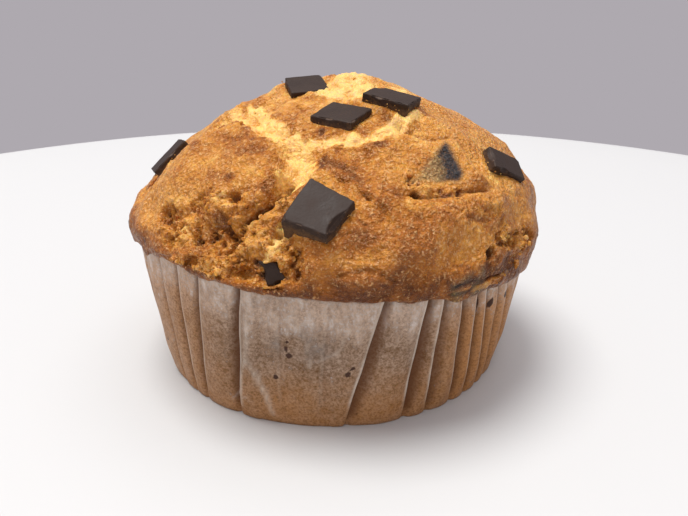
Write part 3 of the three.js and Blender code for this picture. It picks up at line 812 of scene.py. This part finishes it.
def crust_material(colours):
    """Baked sponge crust, browned by an oven: matt golden brown with painted glints on its grains, paler
    and rougher where it is torn open, darkest near the case and, by painted shade, in its cracks and
    hollows."""
    material, tree = new_material(CRUST_NAME)
    place = add(tree, "TexCoord", out="Object")
    masks = {key: add(tree, "Attribute", out="Fac", attribute_name=key)
             for key in ("bake", "hollow_shade", "film", "shade")}
    # blotches of about 4 mm, mottling of 1.4 mm, grains of 0.8 mm, glints of 0.5 mm, grit of 0.36 mm
    marks = {}
    for key, size, detail in (("blotch", 4.0, 4), ("mottle", 1.4, 3), ("grain", 0.8, 3), ("grit", 0.36, 2),
                              ("glint", 0.5, 1)):
        marks[key] = add(tree, "TexNoise", {"Vector": place, "Scale": per_mm(size), "Detail": detail,
                                            "Roughness": 0.65})
    level = weighed(tree, -0.48, ((masks["bake"], 1.0), (marks["blotch"], 0.85), (marks["mottle"], 0.5),
                                  (marks["grain"], -0.5), (marks["grit"], 0.12)))
    specks = weighed(tree, 0.0, ((marks["grit"], -1.0), (masks["bake"], 0.25)))
    # painted glints: pale highlight specks on the grains, fewer on browner crust
    painted_glint = weighed(tree, 0.07, ((marks["glint"], 1.0), (masks["bake"], -0.14)))
    # the pale #EDB97C layer is a painted highlight, and the last, darkest layer is painted shade in
    # cracks, holes and hollows
    baked = layered(tree, colours.crumb, (
        (level, 0.02, 0.34, "#D89236"), (level, 0.34, 0.66, colours.crust),
        (level, 0.64, 1.05, "#66340A"), (painted_glint, 0.50, 0.82, "#EDB97C"),
        (specks, -0.27, 0.15, "#7A4212"), (masks["hollow_shade"], 0.0, 1.0, "#451F0A")))
    grey = layered(tree, "#80704C", (
        (marks["glint"], 0.5, 0.75, "#C4AE72"), (masks["shade"], 0.0, 0.6, "#302A2A")))
    veil = weighed(tree, 0.62, ((marks["grit"], 0.9),))
    veil = add(tree, "Math", {0: veil, 1: masks["film"]}, operation="MULTIPLY", use_clamp=True)
    filmed = add(tree, "Mix", {0: veil, 6: baked, 7: grey}, out=2, data_type="RGBA")
    cells = add(tree, "TexVoronoi", {"Vector": place, "Scale": per_mm(0.75), "Smoothness": 0.4},
                feature="SMOOTH_F1")
    height = weighed(tree, 0.0, ((cells, -0.7), (marks["grit"], 0.7), (marks["grain"], 1.5),
                                 (marks["glint"], 0.7), (marks["mottle"], 0.8)))
    coarse = add(tree, "MapRange", {0: masks["bake"], 1: 0.0, 2: 0.4, 3: 0.45, 4: 1.0})
    bump = add(tree, "Bump", {"Strength": coarse, "Distance": 0.5 * MM, "Height": height})
    rough = add(tree, "MapRange", {0: marks["grain"], 1: 0.3, 2: 0.7, 3: 0.27, 4: 0.46})
    shader = add(tree, "BsdfPrincipled", {
        "Base Color": filmed, "Normal": bump, "Roughness": rough, "IOR": 1.45, "Specular IOR Level": 0.4,
        "Subsurface Weight": 0.25, "Subsurface Radius": (1.0, 0.5, 0.25), "Subsurface Scale": 1.2 * MM})
    add(tree, "OutputMaterial", {"Surface": shader})
    return material


class MUFFIN_OT_crust(bpy.types.Operator):
    """Build the crust and the hidden wall of the cake"""
    bl_idname = "muffin.crust"
    bl_label = "Crust"

    def execute(self, context):
        sizes = context.scene.muffin_sizes
        u, v, quads, loop = disc_grid(sizes.crust_grid)
        u, v = u * CHART * LIP_END, v * CHART * LIP_END
        coat = dress(u, v, sizes)
        cover = seat_chunks(coat, sizes)
        hollow = hollow_depth(coat["broad"] + coat["fine"], sizes.crust_grid)
        film, shade = film_fields(u, v, coat, cover)
        # the second field is painted shade, dark in cracks, holes and hollows
        fields = {"bake": bake_level(u, v, coat, hollow), "hollow_shade": hollow_shade_level(coat, hollow),
                  "film": film, "shade": shade}
        below, walls = hidden_wall(coat["verts"], loop, sizes)
        spare = np.zeros(len(below))
        data = {key: np.concatenate([field, spare]) for key, field in fields.items()}
        points, faces = np.concatenate([coat["verts"], below]), np.concatenate([quads, walls])
        material = crust_material(context.scene.muffin_colours)
        piece = make_piece("crust", points, faces, material, data)
        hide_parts("cake")
        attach(piece, BODY)
        return {"FINISHED"}


# ---------------------------------------------------------------- crumbs
def off_chunks(points, sizes):
    """True for the points that don't lie over a bare chunk."""
    clear = np.ones(len(points), bool)
    for name, (*_, long, wide, _, _) in CHUNKS.items():
        centre, axes = chunk_frame(name, sizes)
        local = np.abs((points - centre) @ axes)
        clear &= (name in COVERED) | (local > np.array([long / 2, wide / 2, SEAT_REACH])).any(1)
    return clear


def torn_crumbs(draw, sizes):
    """Seats, radii and bake levels of small crumbs, thrown over the crust and kept where it is torn."""
    reach = CHART * 1.1 * np.sqrt(draw.random(CRUMBS_THROWN))
    heading = 2 * np.pi * draw.random(CRUMBS_THROWN)
    u, v = reach * np.cos(heading), reach * np.sin(heading)
    masks = crust_fields(u, v, plain_crust(u, v, sizes))
    keep = draw.random(CRUMBS_THROWN) < 0.28 * masks["torn"] + 0.05 * masks["open"]
    coat = dress(u[keep], v[keep], sizes)
    size = 0.10 + 0.36 * draw.random(keep.sum()) ** 3
    bake = 0.10 + 0.30 * draw.random(keep.sum()) + 0.25 * (1 - coat["open"])
    seats = coat["verts"] + coat["normal"] * (0.2 * size)[:, None]
    clear = off_chunks(seats, sizes)
    return seats[clear], np.stack([size] * 3, 1)[clear], bake[clear]


def chunk_crumbs(draw, sizes):
    """Seats, radii and bake levels of the crumbs that cling to the sides of the bare chunks."""
    seats, radii, bakes = [], [], []
    count = CRUMBS_PER_CHUNK
    for name, (*_, long, wide, _, lift) in CHUNKS.items():
        if name in COVERED:
            continue
        centre, axes = chunk_frame(name, sizes)
        along = draw.random(count) * 2 - 1
        side = draw.integers(0, 4, count)
        x = np.where(side < 2, along, np.where(side == 2, 1.0, -1.0)) * long / 2
        y = np.where(side < 2, np.where(side == 0, 1.0, -1.0), along) * wide / 2
        z = -0.5 - (lift + 0.5) * draw.random(count) ** 0.6
        seats.append(centre + np.stack([x, y, z], 1) @ axes.T)
        size = 0.05 + 0.11 * draw.random(count) ** 2
        radii.append(np.stack([size] * 3, 1))
        bakes.append(0.2 + 0.4 * draw.random(count))
    return np.concatenate(seats), np.concatenate(radii), np.concatenate(bakes)


def ball_cloud(seats, radii, up, spin, draw):
    """Crumbs as balls of 24 faces, each stretched, dented by noise and turned: points, faces, a tone
    for each point, and how many points a ball has."""
    count = len(seats)
    ball, _, faces = rounded_block(np.ones(3), 3, 1.0)
    where = (ball[None] * 1.1 + 7.3 * np.arange(count)[:, None, None]).reshape(-1, 3)
    dent = 1 + 0.5 * lattice_noise(where, 0.9, 301).reshape(count, -1, 1)
    local = ball[None] * dent * (radii * (0.75 + 0.5 * draw.random((count, 3))))[:, None]
    side = unit(np.cross(up, np.array([0.31, 0.95, 0.02])))
    ahead = np.cross(up, side)
    c, s = np.cos(spin)[:, None], np.sin(spin)[:, None]
    axes = np.stack([side * c + ahead * s, ahead * c - side * s, up], 1)
    points = (seats[:, None] + np.einsum("nki,nij->nkj", local, axes)).reshape(-1, 3)
    quads = (faces[None] + (np.arange(count) * len(ball))[:, None, None]).reshape(-1, 4)
    return points, quads, 0.12 * lattice_noise(where, 0.6, 311), len(ball)


class MUFFIN_OT_crumbs(bpy.types.Operator):
    """Scatter the loose and half-torn crumbs"""
    bl_idname = "muffin.crumbs"
    bl_label = "Crumbs"

    def execute(self, context):
        sizes = context.scene.muffin_sizes
        draw = np.random.default_rng(7)
        big = np.array(BIG_CRUMBS, float)
        coat = dress(big[:, 0], big[:, 1], sizes)
        groups = (torn_crumbs(draw, sizes), chunk_crumbs(draw, sizes),
                  (coat["verts"] + coat["normal"] * big[:, 2:3], big[:, 3:6], big[:, 7]))
        seats, radii, bakes = (np.concatenate([group[k] for group in groups]) for k in range(3))
        spin = 2 * np.pi * draw.random(len(seats))
        spin[-len(big):] = np.radians(big[:, 6])
        up = np.tile([0.0, 0, 1], (len(seats), 1))
        up[-len(big):] = coat["normal"]
        points, quads, tone, each = ball_cloud(seats, radii, up, spin, draw)
        still = np.zeros(len(points))
        # crumbs get no painted shade
        data = {"bake": np.repeat(bakes, each) + tone, "hollow_shade": still, "film": still, "shade": still}
        material = bpy.data.materials.get(CRUST_NAME) or crust_material(context.scene.muffin_colours)
        piece = make_piece("crumbs", points, quads, material, data, rounded=False)
        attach(piece, BODY)
        return {"FINISHED"}


# ---------------------------------------------------------------- paper case piece
def paper_material(colours):
    """Unbleached greaseproof paper, pressed into flutes: satin, whitish where it stands off the cake,
    browner and speckled where it is soaked with fat."""
    material, tree = new_material("greaseproof paper")
    place = add(tree, "TexCoord", out="Object")
    masks = {key: add(tree, "Attribute", out="Fac", attribute_name=key)
             for key in ("soak", "grease", "groove_shade", "edge_highlight", "shade", "mark")}
    upright = add(tree, "Mapping", {"Vector": place, "Scale": (1, 1, 0.4)})
    # patches of about 3 mm, speckles of 1 mm, upright streaks of 1.6 mm, flecks of 0.4 mm
    marks = {}
    for key, where, size, detail in (("patch", place, 3.2, 4), ("speckle", place, 1.0, 3),
                                     ("streak", upright, 1.6, 4), ("fleck", place, 0.42, 2)):
        marks[key] = add(tree, "TexNoise", {"Vector": where, "Scale": per_mm(size), "Detail": detail,
                                            "Roughness": 0.7})
    soak = weighed(tree, -1.6, ((masks["soak"], 1.0), (marks["patch"], 1.0), (marks["speckle"], 1.2),
                                (marks["fleck"], 1.0)))
    dry = weighed(tree, 0.0, ((marks["streak"], 0.6), (marks["fleck"], 0.5), (masks["soak"], -0.2),
                              (masks["grease"], -0.1)))
    spots = weighed(tree, -0.12, ((masks["mark"], 1.0), (marks["fleck"], 0.24)))
    # the #5E3412 groove layer is painted shade and the pale #EADFD0 layer a painted highlight on fold
    # edges and creases
    tone = layered(tree, colours.paper, (
        (soak, 0.1, 1.3, "#745230"), (masks["grease"], 0.0, 1.0, "#B87E44"),
        (marks["fleck"], 0.45, 0.9, "#5E4026"), (dry, 0.45, 0.78, "#F6EEE6"),
        (masks["groove_shade"], 0.0, 1.0, "#5E3412"), (masks["edge_highlight"], 0.0, 1.0, "#EADFD0"),
        (masks["shade"], 0.0, 1.0, "#6F6A66"), (spots, 0.5, 0.62, "#43281A")))
    height = weighed(tree, 0.0, ((marks["speckle"], 0.7), (marks["fleck"], 0.5), (marks["streak"], 0.8)))
    bump = add(tree, "Bump", {"Strength": 0.35, "Distance": 0.3 * MM, "Height": height})
    rough = add(tree, "MapRange", {0: marks["patch"], 1: 0.3, 2: 0.7, 3: 0.42, 4: 0.6})
    shader = add(tree, "BsdfPrincipled", {"Base Color": tone, "Normal": bump, "Roughness": rough,
                                          "IOR": 1.47, "Specular IOR Level": 0.25})
    add(tree, "OutputMaterial", {"Surface": shader})
    return material


def pleat_profile(x, width, here, there):
    """One pleat across, from fold to fold, from -1 in a groove to a little over 0. Each end is either
    an open groove, a smoothstep over its gape, or a sharp edge with a slow swell that leads up to it."""
    (gape_a, side_a), (gape_b, side_b) = here, there
    start = smooth(np.where(side_a > 0, 0.15 * gape_a, -0.25), np.where(side_a > 0, gape_a, 0.2),
                   x * width)
    end = smooth(np.where(side_b > 0, -0.05, 0.15 * gape_b), np.where(side_b > 0, 0.2, gape_b),
                 (1 - x) * width)
    lean = np.where(side_a > 0, 1.5, 0.67)
    return start * end * (1 + np.minimum(0.11 * width, 0.8) * (np.sin(np.pi * x ** lean) - 0.4)) - 1


def paper_spot(heading, share, spot):
    """Distance from the middle of an oval spot on the case, in shares of its radii."""
    at, level, across, up = spot
    return np.hypot(np.radians(heading - at) * CASE_R / across, (share - level) * CASE_H / up)


def all_folds():
    """The front folds and then the even ones, whose headings and open grooves vary by slow sines."""
    folds = list(FRONT_FOLDS)
    for i in range(EVEN_COUNT):
        at = EVEN_FROM + (EVEN_TO - EVEN_FROM) * i / (EVEN_COUNT - 1)
        sway = 0.9 * np.sin(2.3 * i) + 0.7 * np.sin(5.1 * i + 1)
        foot = at + EVEN_SLANT * (1 - i / EVEN_COUNT) + 0.6 * sway
        folds.append((at + sway, foot, 1, 0.9 + 0.3 * np.sin(3.7 * i), 1))
    return np.array(folds, float)


def case_grid(sizes):
    """Rows and columns of the case, closest at its foot and beside the folds: the share of the height,
    the place across the pleat, the heading, the pleat's width and depth, and for the fold at each end
    of the pleat how far it gapes and which side stands proud."""
    folds = all_folds()
    later = np.roll(folds, -1, axis=0)
    later[-1, :2] += 360
    across = np.tile(PLEAT_STEPS, len(folds))
    folds, later = (np.repeat(rows, len(PLEAT_STEPS), axis=0) for rows in (folds, later))
    spread = (later - folds)[:, :2].T
    at_rim, at_foot = np.radians(folds[:, :2].T + spread * across)
    rows = EVEN_ROWS_FROM + np.linspace(0, 1, sizes.case_rows + 1) * (1 - EVEN_ROWS_FROM)
    share = np.concatenate([FOOT_ROWS, rows])[:, None]
    angle = at_foot + (at_rim - at_foot) * share
    sway = noise("fold sway", around(40, angle, 25 * share).reshape(-1, 3))
    rim_width, foot_width = np.radians(spread) * np.array([[sizes.rim_radius], [sizes.foot_radius]]) / MM
    gape = 0.55 + 0.6 * np.sin(np.pi * np.clip(share, 0, 1) ** 0.8)
    return {"share": share, "across": across, "angle": angle + sway.reshape(angle.shape),
            "width": foot_width + (rim_width - foot_width) * share,
            "deep": np.where(across < 0.5, folds[:, 2], later[:, 2]),
            "ends": [(fold[:, 3] * gape, fold[:, 4]) for fold in (folds, later)]}


def shape_case(grid, sizes):
    """Radius and height of the case in millimetres: pleats over a cone with a rounded foot, then a
    light crumple and the creases. Keeps the pleats' profile, the places before the crumple, the heading
    in degrees and how sharply the paper is pressed."""
    share, angle = grid["share"], grid["angle"]
    foot, rim = sizes.foot_radius / MM, sizes.rim_radius / MM
    profile = pleat_profile(grid["across"], grid["width"], *grid["ends"])
    depth = FOLD * grid["deep"] * (0.45 + 0.55 * smooth(0, 0.3, share))
    r = foot + (rim - foot) * share + profile * depth
    r += 0.25 * smooth(0, 0.25, share) * (1 - smooth(0.75, 1, share))
    r -= 0.45 * (1 - np.sqrt(1 - 0.9 * np.clip(1 - share / 0.05, 0, 1) ** 2))
    z = share * rim_height(angle, sizes)
    place = around(r, angle, z).reshape(-1, 3)
    tall = place * np.array([1, 1, 0.45])
    crumple = noise("crumple", tall) + noise("fine crumple", tall)
    r += crumple.reshape(r.shape) * smooth(0, 0.12, share) * (1 - 0.6 * smooth(0.9, 1, share))
    heading = (np.degrees(angle) + 180) % 360 - 180
    pressed = np.zeros(r.shape)
    for half, height, points in CREASES:
        line = [(np.radians(at) * CASE_R, level * CASE_H) for at, level in points]
        d = line_distance(np.radians(heading) * CASE_R, share * CASE_H, line) / half
        r += height * np.exp(-d * d)
        pressed = np.maximum(pressed, max(height, 0) * np.exp(-4 * d * d))
    grid.update(profile=profile, place=place, heading=heading, pressed=pressed)
    return r, z


def case_fields(grid):
    """The masks of the paper: soaked below a ragged line, greasy low down and towards the sides away from
    FACING, warm in the grooves by painted shade, pale by a painted highlight on the edges of the pleats
    and along the creases, stained, and grey over hidden chocolate."""
    share, across, width, heading = (grid[key] for key in ("share", "across", "width", "heading"))
    deep = np.clip(grid["deep"], 0, 1)
    # painted shade: warm dark brown in the grooves beside the folds
    groove_shade = np.clip(-grid["profile"] - 0.1, 0, 1) ** 0.8 * deep * smooth(0.0, 0.12, share)
    (_, proud_a), (_, proud_b) = grid["ends"]
    # painted highlight: pale lines beside the proud edges of the folds and along the pressed creases
    before = np.exp(-((across * width - 0.35) / 0.3) ** 2) * (proud_a < 0)
    after = np.exp(-(((1 - across) * width - 0.35) / 0.3) ** 2) * (proud_b > 0)
    edge_highlight = 0.6 * deep * np.maximum(before, after) * smooth(0.05, 0.3, share)
    ragged, slow = (noise(key, grid["place"]).reshape(heading.shape) for key in ("soaked", "soaked far"))
    edge_highlight = np.maximum(edge_highlight * (1 + ragged), (1 + ragged) * grid["pressed"])
    soak = 0.95 - 0.62 * smooth(0.60, 0.92, share + 0.14 * ragged + 0.06 * slow)
    # lighter and warmer towards the sides, away from the heading FACING
    soak -= 0.3 * smooth(30, 62, np.abs(heading - FACING))
    grease = 0.62 * smooth(0.62, 0.02, share + 0.25 * slow + 0.12 * ragged)
    away = smooth(22, 45, np.abs(heading - FACING)) * np.where(heading < FACING, 0.6, 1.0)
    grease = np.maximum(grease, 0.85 * away * smooth(1.1, 0.75, share + 0.15 * ragged))
    mark, shade = np.zeros(heading.shape), np.zeros(heading.shape)
    for spot in STAINS:
        mark = np.maximum(mark, 1 - 0.5 * paper_spot(heading, share, spot))
    for spot in SHOWING:
        grey = 0.6 * np.exp(-paper_spot(heading, share, spot) ** 2) * smooth(-0.5, 0.4, ragged)
        shade = np.maximum(shade, grey)
    return {"soak": soak, "grease": grease, "groove_shade": groove_shade, "edge_highlight": edge_highlight, "shade": shade,
            "mark": mark}


def case_shell(r, angle, z):
    """The case as a cup: outer wall, inner wall, the lip between them, and a floor fan for each."""
    outer = around(r, angle, z)
    inner = around(r - PAPER_WALL, angle, np.maximum(z, PAPER_WALL))
    points = np.concatenate([outer.reshape(-1, 3), inner.reshape(-1, 3), [[0, 0, 0], [0, 0, PAPER_WALL]]])
    index = np.arange(r.size).reshape(r.shape)
    step = np.roll(index, -1, 1)
    walls = np.stack([index[:-1], step[:-1], step[1:], index[1:]], -1).reshape(-1, 4)
    lip = np.stack([index[-1], step[-1], step[-1] + r.size, index[-1] + r.size], -1)
    fan = np.stack([index[0][0::2], index[0][1::2], np.roll(index[0], -2)[0::2]], 1)
    hub = np.full(len(fan), 2 * r.size)
    floor = np.stack([*fan.T[::-1], hub], 1)
    pan = np.stack([*fan.T + r.size, hub + 1], 1)
    return points, np.concatenate([walls, walls[:, ::-1] + r.size, lip, floor, pan])


class MUFFIN_OT_paper(bpy.types.Operator):
    """Build the pleated paper case"""
    bl_idname = "muffin.paper"
    bl_label = "Paper case"

    def execute(self, context):
        sizes = context.scene.muffin_sizes
        grid = case_grid(sizes)
        r, z = shape_case(grid, sizes)
        points, faces = case_shell(r, grid["angle"], z)
        data = {key: np.concatenate([field.ravel(), field.ravel(), [0, 0]])
                for key, field in case_fields(grid).items()}
        piece = make_piece("case", points, faces, paper_material(context.scene.muffin_colours), data)
        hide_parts("paper_case")
        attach(piece, BODY)
        return {"FINISHED"}


# ---------------------------------------------------------------- chocolate pieces
def chocolate_material(colours):
    """Dark baking chocolate, cast and broken: satin, a touch of bloom, dusted with crumb on its sides."""
    material, tree = new_material("dark baking chocolate")
    place = add(tree, "TexCoord", out="Object")
    masks = {key: add(tree, "Attribute", out="Fac", attribute_name=key) for key in ("dust", "wear_and_edge_highlight")}
    marks = {}
    for key, size, detail in (("cloud", 3.0, 3), ("smear", 1.1, 3), ("fleck", 0.35, 2)):
        marks[key] = add(tree, "TexNoise", {"Vector": place, "Scale": per_mm(size), "Detail": detail,
                                            "Roughness": 0.6})
    dust = weighed(tree, -0.95, ((masks["dust"], 0.6), (marks["smear"], 0.9), (marks["fleck"], 0.9)))
    # lighter along the edges and breaks: partly real wear, partly a painted highlight on the edges
    wear_and_edge_highlight = weighed(tree, -0.25, ((masks["wear_and_edge_highlight"], 0.7), (marks["smear"], 0.5)))
    tone = layered(tree, colours.chocolate, (
        (marks["cloud"], 0.35, 0.9, "#3E312B"), (wear_and_edge_highlight, 0.3, 1.1, "#8A7260"),
        (dust, 0.15, 0.9, "#6C4F34")))
    bump = add(tree, "Bump", {"Strength": 0.25, "Distance": 0.3 * MM, "Height": marks["fleck"]})
    rough = add(tree, "MapRange", {0: marks["cloud"], 1: 0.3, 2: 0.7, 3: 0.44, 4: 0.62})
    shader = add(tree, "BsdfPrincipled", {"Base Color": tone, "Normal": bump, "Roughness": rough,
                                          "IOR": 1.5, "Specular IOR Level": 0.19})
    add(tree, "OutputMaterial", {"Surface": shader})
    return material


def bite(local, half, chip):
    """A shell-shaped break at the top edge: a ball dips into the edge, and the points inside it move
    out to its surface. Gives the points and how far each one moved."""
    x, y, reach, depth = chip
    out = unit(np.array([x * (abs(x) >= 1), y * (abs(y) >= 1), 1.0]))
    radius = (reach ** 2 + depth ** 2) / (2 * depth)
    centre = np.array([x * half[0], y * half[1], 0]) + out * (radius - depth)
    away = local - centre
    far = np.linalg.norm(away, axis=1)
    moved = np.maximum(radius - far, 0)
    return local + unit(away) * moved[:, None], moved


def draw_corner(local, half, pull):
    """One corner post pulled sideways: x and y fade out linearly to the next corners."""
    sx, sy, dx, dy = pull
    share = (1 + sx * local[:, 0] / half[0]) * (1 + sy * local[:, 1] / half[1]) / 4
    return local + np.maximum(share, 0)[:, None] * np.array([dx, dy, 0])


def broken_block(name, number, half):
    """One chunk under the centre of its top face: a rounded block, a little skewed, rough and chipped
    along its edges, with its breaks and pulled corners. Gives points, faces and masks."""
    local, out, faces = rounded_block(half, CHUNK_GRID, CHUNK_ROUND)
    local[:, 2] -= half[2]
    seed = 200 + 13 * number
    where = local + 50.0 * number
    local[:, :2] += 0.10 * local[:, 2:3] * np.sin(np.array([[number * 1.3, number * 2.1]]))
    edge = 1 - np.abs(out).max(1)
    chip = smooth(0.15, 0.5, lattice_noise(where, 1.1, seed)) * smooth(0.05, 0.3, edge)
    side = 1 - np.abs(out[:, 2]) ** 2
    push = 0.06 * fractal(where, 2.4, 3, seed + 3) - 0.28 * chip
    push += side * 0.17 * fractal(where, 1.1, 3, seed + 5)
    local = local + out * push[:, None]
    broken = np.zeros(len(local))
    for spot in CHIPS.get(name, ()):
        local, moved = bite(local, half, spot)
        broken = np.maximum(broken, moved)
    for pull in CORNERS.get(name, ()):
        local = draw_corner(local, half, pull)
    rim = smooth(0.0, 0.06, broken) * smooth(0.3, 0.06, broken)
    dust = np.clip(0.75 * side * smooth(-0.3, -1.8, local[:, 2]) + 0.25 * side, 0, 1)
    # partly wear, partly a painted highlight along edges, chips and breaks
    wear_and_edge_highlight = np.clip(edge * 2.0 + 0.8 * chip + 0.5 * rim, 0, 1)
    return local, faces, {"dust": dust, "wear_and_edge_highlight": wear_and_edge_highlight}


class MUFFIN_OT_chunks(bpy.types.Operator):
    """Build the chocolate chunks"""
    bl_idname = "muffin.chunks"
    bl_label = "Chocolate chunks"

    def execute(self, context):
        sizes = context.scene.muffin_sizes
        material = chocolate_material(context.scene.muffin_colours)
        for number, (name, (*_, long, wide, thick, _)) in enumerate(CHUNKS.items()):
            centre, axes = chunk_frame(name, sizes)
            local, faces, data = broken_block(name, number, np.array([long, wide, thick]) / 2)
            piece = make_piece("piece_" + name, centre + local @ axes.T, faces, material, data)
            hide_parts(name)
            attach(piece, BODY)
        return {"FINISHED"}


# ---------------------------------------------------------------- stage
class MUFFIN_OT_stage(bpy.types.Operator):
    """Set the pale floor, the soft lights and the camera"""
    bl_idname = "muffin.stage"
    bl_label = "Stage"

    def execute(self, context):
        scene = context.scene
        # floor: a round board, rings of points whose height falls away only at the rounded rim
        reach, level = np.array(BOARD, float).T[:, :, None]
        turn = np.linspace(0, 2 * np.pi, 181)[None, :-1]
        rings = around(reach, turn, level)
        grid = np.arange(rings.shape[0] * rings.shape[1]).reshape(rings.shape[:2])
        # lacquered board, matt and pale, its tone a little uneven over 400 mm
        board, tree = new_material("matt pale board")
        place = add(tree, "TexCoord", out="Object")
        cloud = add(tree, "TexNoise", {"Vector": place, "Scale": per_mm(400.0)})
        tone = layered(tree, "#CDCECE", ((cloud, 0.3, 7.0, "#D8D4CE"),))
        shader = add(tree, "BsdfPrincipled", {"Base Color": tone, "Roughness": 0.6})
        add(tree, "OutputMaterial", {"Surface": shader})
        make_piece("floor", rings.reshape(-1, 3), grid_quads(grid, closed=True), board)
        for name, spot, size, power, colour in LIGHTS:
            light = bpy.data.lights.new(name, "AREA")
            light.shape = "DISK"
            light.size, light.energy, light.color = size, power, colour
            lamp = bpy.data.objects.new(name, light)
            lamp.location = spot
            aim = Vector(AIM) - Vector(spot)
            lamp.rotation_euler = aim.to_track_quat("-Z", "Y").to_euler()
            scene.collection.objects.link(lamp)
        world = bpy.data.worlds.new("soft room")
        world.use_nodes = True
        world.node_tree.nodes["Background"].inputs[0].default_value = rgba("#AEA9AF")
        scene.world = world
        camera = bpy.data.cameras.new("camera")
        camera.sensor_width = SENSOR
        camera.lens = SENSOR * FOCAL
        camera.clip_start = 0.005
        eye = bpy.data.objects.new("camera", camera)
        eye.location = EYE
        eye.rotation_euler = np.radians((EYE_TILT, 0, EYE_TURN))
        scene.collection.objects.link(eye)
        scene.camera = eye
        scene.view_settings.view_transform = "Standard"
        return {"FINISHED"}


class MUFFIN_PT_panel(bpy.types.Panel):
    """Lists the parts of the muffin and their sizes and colours"""
    bl_idname = "MUFFIN_PT_panel"
    bl_label = "Muffin"
    bl_space_type = "VIEW_3D"
    bl_region_type = "UI"
    bl_category = "Muffin"

    def draw(self, context):
        layout = self.layout
        for group in (context.scene.muffin_sizes, context.scene.muffin_colours):
            for key in group.__annotations__:
                layout.prop(group, key)
        for operator in OPERATORS:
            layout.operator(operator.bl_idname)


OPERATORS = (MUFFIN_OT_stage, MUFFIN_OT_crust, MUFFIN_OT_paper, MUFFIN_OT_chunks, MUFFIN_OT_crumbs)
CLASSES = (MuffinSizes, MuffinColours, *OPERATORS, MUFFIN_PT_panel)


def register():
    for cls in CLASSES:
        bpy.utils.register_class(cls)
    bpy.types.Scene.muffin_sizes = bpy.props.PointerProperty(type=MuffinSizes)
    bpy.types.Scene.muffin_colours = bpy.props.PointerProperty(type=MuffinColours)


def unregister():
    del bpy.types.Scene.muffin_colours
    del bpy.types.Scene.muffin_sizes
    for cls in reversed(CLASSES):
        bpy.utils.unregister_class(cls)


def main():
    register()
    bpy.ops.muffin.stage()
    bpy.ops.muffin.crust()
    bpy.ops.muffin.paper()
    bpy.ops.muffin.chunks()
    bpy.ops.muffin.crumbs()


if __name__ == "__main__":
    main()
